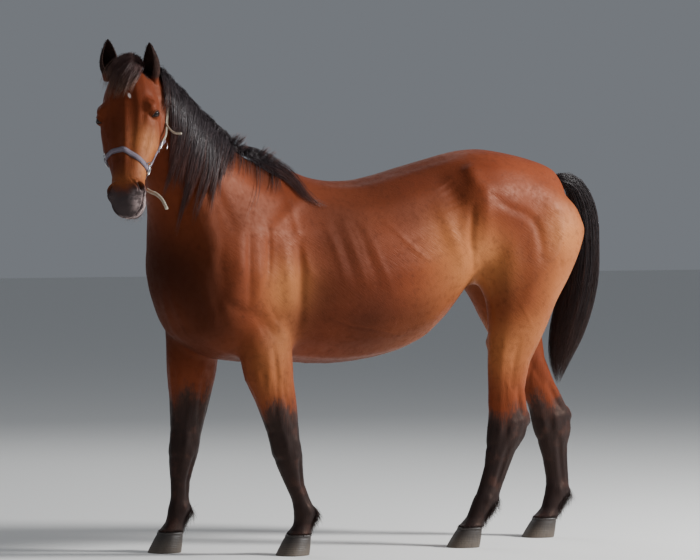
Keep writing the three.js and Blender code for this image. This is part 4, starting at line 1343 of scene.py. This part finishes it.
class NearView:
    """Depth and normals of the skin over a patch of the photograph's frame, for laying hair on it."""

    def __init__(self, skin, left, top, right, bottom, step=2.0):
        self.left, self.top, self.step = left, top, step
        xs, ys = np.arange(left, right + step, step), np.arange(top, bottom + step, step)
        self.shape = (len(ys), len(xs))
        self.depth = np.full(self.shape, np.nan)
        self.normal = np.zeros(self.shape + (3,))
        for j, py in enumerate(ys):
            for i, px in enumerate(xs):
                ray = pixel_ray(px, py)
                place, normal = skin.spot(camera_at, ray)
                if place is not None:
                    self.depth[j, i] = (Vector(place) - camera_at).dot(view_dir)
                    self.normal[j, i] = normal
        while np.isnan(self.depth).any() and not np.isnan(self.depth).all():
            known = ~np.isnan(self.depth)
            layers = np.dstack([known, np.where(known, self.depth, 0), self.normal * known[..., None]])
            padded = np.pad(layers, ((1, 1), (1, 1), (0, 0)))
            total = sum(padded[a:a + len(ys), b:b + len(xs)] for a in range(3) for b in range(3))
            mean = total / np.maximum(total[..., :1], 1)
            fill = ~known & (total[..., 0] > 0)
            self.depth[fill], self.normal[fill] = mean[fill, 1], mean[fill, 2:]

    def place(self, pixels, lift):
        """Points in space on the skin behind the pixels, raised by lift along its normal."""
        i = np.clip((pixels[..., 0] - self.left) / self.step, 0, self.shape[1] - 1.001)
        j = np.clip((pixels[..., 1] - self.top) / self.step, 0, self.shape[0] - 1.001)
        a, b = i.astype(int), j.astype(int)
        f, g = i - a, j - b

        def blend(grid):
            fx, gy = (f, g) if grid.ndim == 2 else (f[..., None], g[..., None])
            return ((grid[b, a] * (1 - fx) + grid[b, a + 1] * fx) * (1 - gy)
                    + (grid[b + 1, a] * (1 - fx) + grid[b + 1, a + 1] * fx) * gy)

        depth, normal = blend(self.depth), unit(blend(self.normal))
        side = (pixels[..., 0] - PHOTO_WIDTH / 2) / FOCAL_PIXELS
        rise = (PHOTO_HEIGHT / 2 - pixels[..., 1]) / FOCAL_PIXELS
        ray = (np.array(view_dir) + side[..., None] * np.array(view_right)
               + rise[..., None] * np.array(view_up))
        return np.array(camera_at) + ray * depth[..., None] + normal * lift[..., None], normal


def guided(guides, weights, count, points, clump, locks):
    """Strands between neighbouring guides, drawn together towards the guides at their tips."""
    guides = np.array([spline(g, points) for g in guides])
    weights = np.array(weights)
    t = np.linspace(0, 1, points)[:, None]
    for _ in range(locks):
        halfway = 0.5 * (guides[1:] + guides[:-1]) + RANDOM.normal(0, 1.6, (len(guides) - 1, 1, 2)) * t
        stop = halfway[:, :1] + (halfway - halfway[:, :1]) * RANDOM.uniform(0.72, 1.08, (len(halfway), 1, 1))
        joined = np.empty((2 * len(guides) - 1, points, 2))
        joined[0::2], joined[1::2] = guides, stop
        heavy = np.empty(len(joined))
        heavy[0::2], heavy[1::2] = weights, 0.5 * (weights[1:] + weights[:-1])
        guides, weights = joined, heavy
    chance = (weights[1:] + weights[:-1]) / 2
    gaps = np.linalg.norm(np.diff(guides[:, 0], axis=0), axis=1) + 2
    chance = chance * gaps
    index = RANDOM.choice(len(chance), count, p=chance / chance.sum())
    share = RANDOM.uniform(0, 1, count)[:, None, None]
    t = np.linspace(0, 1, points)[None, :, None]
    gathered = smoothstep(0.5 - 0.45 * (1 - clump * t), 0.5 + 0.45 * (1 - clump * t), share)
    blend = share * (1 - t) + gathered * t
    return guides[index] * (1 - blend) + guides[index + 1] * blend, index + (share[:, 0, 0] > 0.5)


def shorten(paths, low, high):
    """Each strand keeps a random first part of its path."""
    count, points, _ = paths.shape
    part = RANDOM.uniform(low, high, count)[:, None] * np.linspace(0, 1, points)[None] * (points - 1)
    a = np.minimum(part.astype(int), points - 2)
    f = (part - a)[..., None]
    rows = np.arange(count)[:, None]
    return paths[rows, a] * (1 - f) + paths[rows, a + 1] * f


def waves(count, points, size, turns):
    """Slow sideways waves that grow from nothing at the root."""
    t = np.linspace(0, 1, points)[None]
    phase = RANDOM.uniform(0, 2 * math.pi, (count, 1))
    speed = RANDOM.uniform(0.6, 1.4, (count, 1)) * turns * 2 * math.pi
    return size * t * np.sin(phase + speed * t) * RANDOM.uniform(0.3, 1, (count, 1))


def crest_line(skin):
    """Points of the skin along the top of the neck, just right of its middle, with normals."""
    found = []
    for drawn in np.linspace(-1.20, -0.50, 140):
        x = drawn + ORIGIN[0]
        place, normal = skin.spot((x, float(spine_y(x)) + 0.012, 2.4), (0, 0, -1))
        if place is not None:
            found.append(np.concatenate([place, normal]))
    found = np.array(found)
    return found[:, :3], found[:, 3:]


def make_mane(skin, look):
    view = NearView(skin, 140, 40, 340, 245)
    crest, crest_normal = crest_line(skin)
    points = 9
    guides, weights = zip(*MANE_GUIDES)
    for name, low, high, splits, nodes in (
            ("mane_under", 0.35, 0.80, 1, ()), ("mane_over", 0.45, 1.08, 2, ("mane",))):
        count = shares(STRANDS["mane"])
        paths, lock_of = guided(guides, weights, count, points, 0.92, splits)
        reach = RANDOM.uniform(0.74, 1.10, lock_of.max() + 1)[lock_of]
        paths[..., 0] += waves(lock_of.max() + 1, points, 3.2, 0.75)[lock_of]
        t = np.linspace(0, 1, points)
        extra = shares(STRANDS["withers"])
        spread = RANDOM.normal(0, 1, (extra, 1)) * np.interp(t, [0, 0.3, 0.7, 1], [2.0, 2.8, 2.0, 0.8])
        lock = spline(WITHERS_LOCK, points) + spread[..., None] * np.array([-0.5, 0.8])
        paths = np.concatenate([paths, lock])
        count += extra
        reach = np.concatenate([reach, np.ones(extra)])
        paths = shorten(paths, low * reach, high * reach)
        paths[..., 0] += RANDOM.normal(0, 0.8, (count, 1)) + waves(count, points, 1.8, 0.7)
        paths[..., 1] += RANDOM.normal(0, 1.0, (count, 1))
        depth = np.clip(RANDOM.beta(2, 1.5, count), 0.02, 1)[:, None]
        lift = depth * np.interp(t, [0, 0.15, 0.5, 1], [0.008, 0.020, 0.018, 0.012])[None] + 0.0015
        places, normal = view.place(paths, lift)
        row = np.linalg.norm(places[:, 0, None] - crest[None], axis=2).argmin(1)
        row = np.clip(row + RANDOM.integers(-3, 4, count), 0, len(crest) - 1)
        sideways = RANDOM.uniform(-0.010, 0.014, (count, 1)) * np.array([0.15, 1, 0])
        places[:, 0] = crest[row] + sideways - crest_normal[row] * 0.002
        over = np.where(depth > 0.5, 0.020, 0.014) * (0.6 + 0.6 * depth)
        middle_way = 0.55 * places[:, 0] + 0.45 * places[:, 2]
        places[:, 1] = middle_way + (crest_normal[row] * 0.75 + normal[:, 2] * 0.25) * over
        widths = RANDOM.uniform(*HAIR_WIDTH, count)
        facing = normal + RANDOM.normal(0, 0.35, (count, 1, 3))
        facing[:, 0] = crest_normal[row]
        finish(strand_mesh(name, places, widths, facing=facing), look, "long_hair", *nodes)


# Root and tip of each, in the photograph's frame.
WISPS = [((231, 141), (238, 135)), ((236, 144), (244, 138)), ((241, 150), (247, 145)),
         ((258, 157), (268, 149)), ((264, 161), (274, 153)), ((270, 165), (279, 160))]


def make_wisps(skin, look):
    """The few short locks that stand up from the crest near the withers."""
    view = NearView(skin, 225, 130, 290, 180)
    points = 6
    t = np.linspace(0, 1, points)[None]
    rows = []
    for root, tip in WISPS:
        count = shares(STRANDS["wisp"])
        start = RANDOM.normal(0, 1.2, (count, 2)) + root + np.array([0, 3.0])
        run = np.array(tip) - root + RANDOM.normal(0, 1.6, (count, 2))
        run = run * RANDOM.uniform(0.6, 1.2, (count, 1))
        first, _ = view.place(start, np.full(count, 0.004))
        size = ((first - np.array(camera_at)) @ np.array(view_dir) / FOCAL_PIXELS)[:, None, None]
        right = run[:, None, :1] * t[..., None]
        up = -(run[:, None, 1:] - 3.0) * (t ** 0.8)[..., None]
        rows.append(first[:, None] + (right * np.array(view_right) + up * np.array(view_up)) * size)
    places = np.concatenate(rows)
    facing = np.broadcast_to(-np.array(view_dir), places.shape)
    piece = strand_mesh("mane_wisps", places, RANDOM.uniform(0.0012, 0.0020, len(places)), facing=facing)
    finish(piece, look, "long_hair")


def make_forelock(skin, look):
    view = NearView(skin, 90, 45, 160, 110, 1.5)
    points, count = 8, shares(STRANDS["forelock"])
    paths, _ = guided(FORELOCK_GUIDES, [0.9] * len(FORELOCK_GUIDES), count, points, 0.8, 1)
    paths = shorten(paths, 0.35, 1.1)
    paths[..., 0] += RANDOM.normal(0, 1.0, (count, 1)) + waves(count, points, 1.6, 0.6)
    paths[..., 1] += RANDOM.normal(0, 1.0, (count, 1))
    t = np.linspace(0, 1, points)
    depth = RANDOM.beta(2, 1.5, count)[:, None]
    lift = depth * np.interp(t, [0, 0.3, 1], [0.014, 0.022, 0.007])[None] + 0.001
    places, normal = view.place(paths, lift)
    piece = strand_mesh("forelock_hair", places, RANDOM.uniform(0.0014, 0.0026, count),
                        facing=normal + RANDOM.normal(0, 0.35, (count, 1, 3)))
    finish(piece, look, "long_hair", "forelock")


TAIL_LOCKS = 90


def make_tail(look):
    last = 59
    rows = spline(TAIL, last + 1)
    centre = rows[:, :3] + ORIGIN
    along = unit(np.gradient(centre, axis=0))
    side = unit(np.cross([0, 1, 0], along))
    across = np.cross(along, side)
    for name, inner, outer, nodes in (("tail_under", 0.35, 0.8, ()), ("tail_over", 0.72, 1.0, ("tail",))):
        count, points = shares(STRANDS["tail"]), 10
        centres = RANDOM.uniform(0, 2 * math.pi, TAIL_LOCKS)
        angle = centres[RANDOM.integers(0, TAIL_LOCKS, count)] + RANDOM.normal(0, 0.10, count)
        shell = RANDOM.uniform(inner, outer, count)
        root = RANDOM.beta(1.0, 1.6, count) * 0.42
        tip = np.clip(root + RANDOM.uniform(0.35, 0.95, count), 0, RANDOM.uniform(0.86, 1.0, count))
        t = np.linspace(0, 1, points)[None]
        at = (root[:, None] + (tip - root)[:, None] * t) * last
        a = np.minimum(at.astype(int), last - 1)
        f = (at - a)[..., None]

        def follow(values):
            return values[a] * (1 - f) + values[a + 1] * f

        dock = np.interp(root, [0, 0.42], [0.62, 0.16])[:, None]
        reach = dock + (shell[:, None] - dock) * smoothstep(0, 0.30, t)
        sway = waves(count, points, 0.10, 0.8)
        turn = angle[:, None] + sway + RANDOM.normal(0, 0.05, (count, 1)) * t
        thick, wide = follow(rows[:, 3:4]), follow(rows[:, 4:5])
        offset_side = follow(side) * thick * (reach * np.cos(turn))[..., None]
        offset_across = follow(across) * wide * (reach * np.sin(turn))[..., None]
        paths = follow(centre) + offset_side + offset_across
        facing = offset_side + offset_across + RANDOM.normal(0, 0.012, (count, 1, 3))
        widths = RANDOM.uniform(*HAIR_WIDTH, count)
        finish(strand_mesh(name, paths, widths, facing=facing), look, "long_hair", *nodes)


# ---- short tufts where the coat breaks the outline ----
def lay_tufts(name, base, ids, length, lift, width, look, slot, marks, points=4, spread=0.35, droop=0.0,
              toward=None):
    """Tufts rooted near the points ids of base, its points and normals, lying along the coat."""
    count = len(ids)
    roots, normal = base[0][ids], base[1][ids]
    jitter = RANDOM.normal(0, 0.004, (count, 3))
    jitter -= normal * (jitter * normal).sum(1, keepdims=True)
    roots = roots + jitter - normal * 0.001
    way = hair_direction(roots) if toward is None else np.broadcast_to(toward, roots.shape)
    way = way + RANDOM.normal(0, spread, (count, 3))
    way = unit(way - normal * (way * normal).sum(1, keepdims=True))
    length = np.broadcast_to(length, count) * RANDOM.uniform(0.6, 1.2, count)
    lift = np.broadcast_to(lift, count) * RANDOM.uniform(0.5, 1.4, count)
    t = np.linspace(0, 1, points)[None, :, None]
    rise = (t - 0.45 * t * t) * lift[:, None, None] * length[:, None, None]
    paths = roots[:, None] + way[:, None] * t * length[:, None, None] + normal[:, None] * rise
    paths[..., 2] -= droop * length[:, None] * t[..., 0] ** 2
    piece = strand_mesh(name, paths, np.broadcast_to(width, count) * RANDOM.uniform(0.7, 1.3, count),
                        normal[:, None], 0.35, marks(roots))
    finish(piece, look, slot)


def pick(chance, count):
    return RANDOM.choice(len(chance), count, p=chance / chance.sum())


def make_tufts(skin, look, marks):
    base = (skin.verts, skin.normals)
    x, y, z = skin.verts.T
    drawn = skin.verts - ORIGIN
    s, w, n = head_coords(skin.verts).T * 1000
    on_skull = (s > -10) & (np.abs(w) < 150) & (n > -330) & (drawn[:, 0] < -1.0)
    area = np.where(region_weights(skin.verts)[1] > 0.05, 0.3, 1.0)
    down = smoothstep(0.2, -0.7, skin.normals[:, 2])
    trunk = ~on_skull & (z > 0.72)
    # the underside of the barrel, the breast and the insides of the limbs
    belly = area * trunk * (0.12 + down * smoothstep(1.15, 0.9, z) + 0.4 * smoothstep(1.55, 1.62, z))
    belly += area * trunk * 0.5 * smoothstep(0.60, 0.72, drawn[:, 0])
    flanks = area * trunk * smoothstep(0.7, 0.9, z)
    head = area * on_skull * (0.10 + smoothstep(-200, -270, n) + 0.6 * smoothstep(80, 20, s)) * (s < 520)
    legs = np.zeros(len(x))
    back = np.zeros(len(x))
    for name in AXES:
        ax, ay = leg_axis(name, z)
        turn = LEG_TURN[name[:4]]
        close = (z < 0.78) & (np.hypot(x - ax, y - ay) < 0.16)
        behind = (skin.normals[:, 0] * math.cos(turn) + skin.normals[:, 1] * math.sin(turn))
        legs += close * (0.25 + 0.9 * smoothstep(0.1, 0.8, behind))
        back += close * smoothstep(0.35, 0.9, behind) * (smoothstep(0.05, 0.0, np.abs(z - 0.165)))
    rim = (z < 0.100) & (z > 0.084)
    chin = on_skull * (s > 560) * (n < -90) * 1.0 + on_skull * (s > 600) * 0.2
    for name, chance, count, length, lift, width, slot, more in (
            ("coat_belly", belly, 6500, 0.013, 0.16, 0.0018, "bay_coat", {}),
            ("coat_flanks", flanks, 5000, 0.011, 0.05, 0.0016, "bay_coat", {}),
            ("coat_head", head, 4500, 0.008, 0.10, 0.0010, "bay_coat", {}),
            ("coat_legs", legs + TINY, 5500, 0.010, 0.12, 0.0013, "black_points", {}),
            ("coat_fetlocks", back + TINY, 2800, 0.050, 0.32, 0.0018, "black_points",
             {"points": 6, "droop": 0.25}),
            ("coat_coronets", rim + TINY, 2000, 0.015, 0.12, 0.0016, "black_points", {}),
            ("whiskers", chin + TINY, 160, 0.026, 1.2, 0.0006, "bay_coat", {"points": 5, "spread": 0.8})):
        lay_tufts(name, base, pick(chance, shares(count)), length, lift, width, look, slot, marks, **more)


def ear_hairs(body, look, marks):
    """Hairs along the ears' edges and in their hollows."""
    points, normal = coords(body.data), coords(body.data, "vertex_normals", "vector")
    ear, hollow = ear_share(points)
    local = [ear_local(points, hand) for _, hand in HANDS]
    nearer = np.where(np.hypot(local[0][:, 0], local[0][:, 1])[:, None]
                      < np.hypot(local[1][:, 0], local[1][:, 1])[:, None], local[0], local[1])
    t = nearer[:, 2] / EAR_LENGTH
    edge = (nearer[:, 0] < 0.004) * 1.0
    chance = ear * (0.15 + edge + 0.8 * hollow * (t < 0.75)) * (t > 0.02) * (t < 0.93) + TINY
    up = np.array(ear_matrix(1).to_3x3() @ Vector((-0.45, 0, 1)))
    lay_tufts("coat_ears", (points, normal), pick(chance, shares(3000)), 0.011, 0.40, 0.0010, look,
              "black_points", marks, toward=up)


# ---- halter ----
def tube(centre, radius, sides, closed, name):
    """A round bar along a path."""
    count = len(centre)
    tangent = unit(np.roll(centre, -1, 0) - np.roll(centre, 1, 0) if closed else np.gradient(centre, axis=0))
    side = np.cross(tangent[0], [0.3, 0.5, 0.8])
    frames = []
    for k in range(count):
        side = unit(side - tangent[k] * side.dot(tangent[k]))
        frames.append(side)
    side = np.array(frames)
    rise = np.cross(tangent, side)
    angle = np.linspace(0, 2 * math.pi, sides, endpoint=False)
    grid = (centre[:, None] + radius * (np.cos(angle)[None, :, None] * side[:, None]
                                        + np.sin(angle)[None, :, None] * rise[:, None]))
    if closed:
        return new_object(name, grid.reshape(-1, 3), ring_quads(count, sides, True))
    return new_object(name, *capped(grid, grid[[0, -1]].mean(1)))


def woven(name, grid, along, across, width):
    """A strap from its rings, with millimetres along it and shares of its half width across."""
    piece = new_object(name, *capped(grid, grid[[0, -1]].mean(1)))
    rows, columns = np.repeat(along, len(across)), np.tile(across, len(along))
    ends = [0, -1]
    weave = np.stack([rows, columns * width * 500, 0 * rows], 1)
    put_attribute(piece.data, "weave", np.vstack([weave, weave[ends]]))
    put_attribute(piece.data, "edge", np.abs(np.concatenate([columns, columns[ends]])))
    return piece


def on_skin_strip(skin, path, width, lift, thick, samples, name):
    """A strap pulled over the skin along a path, with rounded edges."""
    line = spline([on_head(*p) for p in path], samples)
    centre = np.array([skin.nearest(p)[0] for p in line])
    centre = relax_line(centre, 16)
    out = np.array([skin.nearest(p)[1] for p in centre])
    out = unit(relax_line(out, 8))
    across = unit(np.cross(out, unit(np.gradient(centre, axis=0))))
    steps = np.linspace(-1, 1, 7)
    heights = np.empty((samples, 7))
    for i in range(samples):
        for j, step in enumerate(steps):
            base = centre[i] + across[i] * step * width / 2
            hit, _ = skin.spot(base + out[i] * 0.03, -out[i])
            heights[i, j] = 0 if hit is None else np.clip((hit - base).dot(out[i]), -0.006, 0.008)
    heights = relax_line(np.maximum(heights, relax_line(heights, 12)), 6)
    heights = np.maximum(heights, heights.mean(1, keepdims=True) - 0.002)
    edge = 1 - 0.55 * (np.abs(steps) > 0.9)
    top = heights + lift + thick * edge
    low = heights + lift - thick * 0.35 * edge
    flat = centre[:, None] + across[:, None] * (steps * width / 2)[None, :, None]
    upper, lower = (flat + out[:, None] * height[..., None] for height in (top, low))
    grid = np.concatenate([upper, lower[:, ::-1]], 1)
    length = np.concatenate([[0], np.cumsum(np.linalg.norm(np.diff(centre, axis=0), axis=1))])
    return woven(name, grid, length * 1000, np.concatenate([steps, steps[::-1]]), width)


def relax_line(values, rounds):
    for _ in range(rounds):
        inner = 0.5 * values[1:-1] + 0.25 * (values[:-2] + values[2:])
        values = np.concatenate([values[:1], inner, values[-1:]])
    return values


STRAP = 0.024  # width of the halter's webbing
# Routes of the straps and places of the rings in the head's frame, in millimetres.
RINGS_AT = {"left": (450, 88, -94), "right": (394, -103, -86)}
NOSE_ROUTE = [RINGS_AT["right"], (383, -94, -50), (381, -58, -12), (385, -10, -2), (407, 30, -6),
              (428, 58, -32), (444, 76, -68), RINGS_AT["left"]]
JAW_ROUTE = [RINGS_AT["left"], (462, 54, -140), (454, -20, -150), (412, -82, -136), RINGS_AT["right"]]
CHEEK_ROUTES = {"left": [RINGS_AT["left"], (370, 104, -142), (306, 122, -170), (270, 124, -180)],
                "right": [RINGS_AT["right"], (350, -108, -134), (300, -122, -168), (262, -125, -182)]}
CROWN_HALF = [(300, 122, -170), (258, 123, -176), (211, 116, -176), (168, 111, -171), (115, 108, -166),
              (62, 102, -160), (10, 96, -150), (-34, 70, -112), (-52, 30, -70)]
CROWN_ROUTE = CROWN_HALF + [(s, -w, n) for s, w, n in reversed(CROWN_HALF)]
CROWN_END = [(172, 116, -166), (206, 130, -158), (236, 146, -154), (258, 168, -150), (266, 196, -147)]
LEAD_TAB = [(508, 58, -135), (522, 76, -132), (536, 98, -130), (562, 121, -130), (604, 140, -130)]


def ring_path(skin, at, lift, long, wide, square, lean=0.0):
    """A rounded loop lying against the head, its long way down the face, sizes in millimetres."""
    place, normal = skin.nearest(on_head(*at))
    down = unit(np.array(FACE_DOWN) - normal * normal.dot(np.array(FACE_DOWN)))
    beside = np.cross(normal, down)
    down, beside = (down * math.cos(lean) + beside * math.sin(lean),
                    beside * math.cos(lean) - down * math.sin(lean))
    angle = np.linspace(0, 2 * math.pi, 48, endpoint=False)
    c, d = squarish(np.cos(angle), square), squarish(np.sin(angle), square)
    return place + (normal * lift + (c * long)[:, None] * down + (d * wide)[:, None] * beside) / 1000


def loose_strip(points, width, thick, name):
    """A strap's loose end, standing off the head."""
    samples = 40
    line = spline([on_head(*p) for p in points], samples)
    tangent = unit(np.gradient(line, axis=0))
    out = unit(np.cross(tangent, np.array(FACE_OUT)))
    across = np.cross(out, tangent)
    angle = np.linspace(0, 2 * math.pi, 16, endpoint=False)
    c, d = squarish(np.cos(angle), 0.5), squarish(np.sin(angle), 0.7)
    grid = (line[:, None] + across[:, None] * (c * width / 2)[None, :, None]
            + out[:, None] * (d * thick / 2)[None, :, None])
    return woven(name, grid, np.linspace(0, 1, samples) * 120, c, width)


def make_halter(skin):
    lilac = webbing_material("webbing", (0.125, 0.080, 0.106), (0.048, 0.028, 0.038), (0.42, 0.36, 0.42))
    trim = webbing_material("webbing_trim", (0.270, 0.215, 0.275), (0.110, 0.075, 0.105), (0.52, 0.46, 0.52))
    pale = webbing_material("pale_strap", (0.560, 0.490, 0.370), (0.300, 0.240, 0.160), (0.62, 0.56, 0.44))
    steel = plain_material("halter_metal", (0.62, 0.62, 0.64), 0.24, 1.0)
    straps = (("noseband", NOSE_ROUTE, "halter_noseband"), ("jaw_strap", JAW_ROUTE, "halter_jaw_strap"),
              ("cheek_left", CHEEK_ROUTES["left"], "halter_cheek_strap_left"),
              ("cheek_right", CHEEK_ROUTES["right"], "halter_cheek_strap_right"))
    samples = 110
    for name, path, node in straps:
        strap = on_skin_strip(skin, path, STRAP, 0.0012, 0.0026, samples, "strap_" + name)
        finish(strap, lilac, "webbing", node)
        if name != "jaw_strap":
            strap = on_skin_strip(skin, path, STRAP * 0.56, 0.0034, 0.0018, samples, "trim_" + name)
            finish(strap, trim, "webbing")
    crown = on_skin_strip(skin, CROWN_ROUTE, 0.013, 0.0012, 0.0026, 160, "strap_crown")
    finish(crown, pale, "webbing", "halter_crown")
    loops = []
    for side, hand in HANDS:
        s, w, n = RINGS_AT[side]
        keeper_at = (s - 22, w - hand * 8, n + 24)
        loops += [("ring_" + side, (s, w, n), 0.0027, 12, (7, 18, 15, 0.62), ("halter_ring_" + side,)),
                  ("keeper_" + side, keeper_at, 0.0018, 10, (6, 6, 14.5, 0.5, 0.5 * hand), ())]
    loops += [("buckle", (300, 122, -170), 0.0021, 10, (7, 15, 13, 0.5), ()),
              ("buckle_keeper", (330, 114, -158), 0.0018, 10, (6, 5, 14.5, 0.5), ())]
    for name, at, bar, sides, loop, nodes in loops:
        finish(tube(ring_path(skin, at, *loop), bar, sides, True, name), steel, "halter_metal", *nodes)
    tongue = spline([on_head(288, 131, -171), on_head(302, 133, -170), on_head(317, 130, -168)], 12)
    finish(tube(tongue, 0.0015, 8, False, "buckle_tongue"), steel, "halter_metal")
    finish(loose_strip(CROWN_END, 0.0115, 0.0065, "crown_end"), pale, "pale_strap", "halter_crown_end")
    finish(loose_strip(LEAD_TAB, 0.0185, 0.0125, "lead_tab"), pale, "pale_strap", "halter_lead_tab")


# ---- floor and lights ----
def add_stage():
    verts = [(-40, -40, 0), (40, -40, 0), (40, 40, 0), (-40, 40, 0)]
    floor = new_object("floor", np.array(verts, float), np.array([[0, 1, 2, 3]]), smooth=False)
    floor.data.materials.append(plain_material("floor", (0.82, 0.82, 0.80), 0.9))
    middle_of_horse = Vector((0, 0, 1.0))
    for name, direction, distance, size, power in (
            ("key", (0.76, -0.47, 0.50), 6.5, 1.4, 760),
            ("fill", (-0.85, -0.45, 0.35), 7.0, 5.0, 22),
            ("back", (0.1, 0.9, 0.6), 7.0, 4.0, 90)):
        data = bpy.data.lights.new(name, "AREA")
        data.shape = "DISK"
        data.size = size
        data.energy = power
        light = bpy.data.objects.new(name, data)
        bpy.context.scene.collection.objects.link(light)
        towards = Vector(direction).normalized()
        light.location = middle_of_horse + towards * distance
        light.rotation_euler = (-towards).to_track_quat("-Z", "Y").to_euler()
    world = bpy.data.worlds.new("studio")
    world.use_nodes = True
    world.node_tree.nodes["Background"].inputs["Color"].default_value = (0.80, 0.86, 0.95, 1)
    world.node_tree.nodes["Background"].inputs["Strength"].default_value = 0.22
    bpy.context.scene.world = world


# ---- building the horse ----
def finer(skin, chosen):
    """The skin with the chosen quads split in four."""
    verts, quads, tris = split_quads(skin.verts, skin.quads, chosen)
    return Surface(verts, quads, np.vstack([skin.tris, tris]))


def shaped_skin():
    skin = Surface(*build_skin())
    shape_body(skin)
    shape_legs(skin)
    shape_head(skin)
    skin.refresh()
    legs, head = region_weights(skin.verts)
    skin.verts = relax(skin.verts, skin.edges(), 2, 0.5)
    skin.verts -= skin.normals * COAT_DEPTH * (1 - 0.6 * np.maximum(legs, head))[:, None]
    skin = finer(skin, region_weights(skin.verts[skin.quads].mean(1))[1] > 0.05)
    skin.verts = relax(skin.verts, skin.edges(), 1, 0.5 * region_weights(skin.verts)[1])
    middles = skin.verts[skin.quads].mean(1)
    s, w, n = head_coords(middles).T * 1000
    finest = (s > 515) & (n > -150) & (np.abs(w) < 110)
    for eye in EYES:
        finest |= np.linalg.norm(middles - eye.centre, axis=1) < 0.048
    skin = finer(skin, finest)
    s, w, n = head_coords(skin.verts).T * 1000
    nose = smoothstep(470, 500, s) * smoothstep(-330, -300, n)
    cups = np.zeros(len(skin.verts))
    for _, hand in HANDS:
        cups = np.maximum(cups, smoothstep(42, 26, np.hypot(np.hypot(s - 551, w - hand * 62), n + 20)))
    skin.verts = relax(skin.verts, skin.edges(), 8, 0.5 * nose)
    skin.verts = relax(skin.verts, skin.edges(), 70, 0.55 * cups)
    skin.refresh()
    shape_muzzle(skin)
    for eye in EYES:
        shape_lids(skin, eye)
    skin.refresh()
    return skin


def coat_marks(points):
    """All that the coat's material reads, at each point of the skin or at the roots of its hairs."""
    marks = coat_attributes(points, skin, *SPOTS)
    ear = ear_share(points)[0]
    marks["black"] = np.maximum(marks["black"], 0.75 * ear)
    marks["deep"] = np.maximum(marks["deep"], ear)
    marks["lie"] = coat_lie(points)
    return marks


skin = shaped_skin()
# Spots of painted light and of painted shade, placed on the skin.
SPOTS = [spread_spots(skin, spots) for spots in (LIT_AND_MEALY_SPOTS, SHADE_SPOTS)]
body = join_ears(skin)
for name, values in coat_marks(coords(body.data)).items():
    put_attribute(body.data, name, values)
body.data.materials.clear()
body.data.polygons.foreach_set("use_smooth", np.ones(len(body.data.polygons), bool))
coat = coat_material()
finish(body, coat, "bay_coat", *FLESH, "ear_left", "ear_right")
eyeball, horn = eye_material(), hoof_material()
for (side, _), eye in zip(HANDS, EYES):
    make_eye(side, eye, eyeball)
for name in ("fore_hoof_left", "fore_hoof_right", "hind_hoof_left", "hind_hoof_right"):
    make_hoof(name, horn)
# Each hair material takes a root colour, a tip colour and a colour of painted sheen.
mane_hair = hair_material("mane_hair", (0.030, 0.021, 0.023), (0.200, 0.076, 0.054), (0.090, 0.074, 0.084))
make_mane(skin, mane_hair)
make_wisps(skin, mane_hair)
make_forelock(skin, hair_material("forelock_hair", (0.088, 0.044, 0.040), (0.440, 0.250, 0.170),
                                  (0.260, 0.165, 0.145)))
make_tail(hair_material("tail_hair", (0.018, 0.013, 0.014), (0.085, 0.036, 0.024), (0.045, 0.036, 0.040)))
make_tufts(skin, coat, coat_marks)
ear_hairs(body, coat, coat_marks)
make_halter(skin)
add_stage()
add_camera()
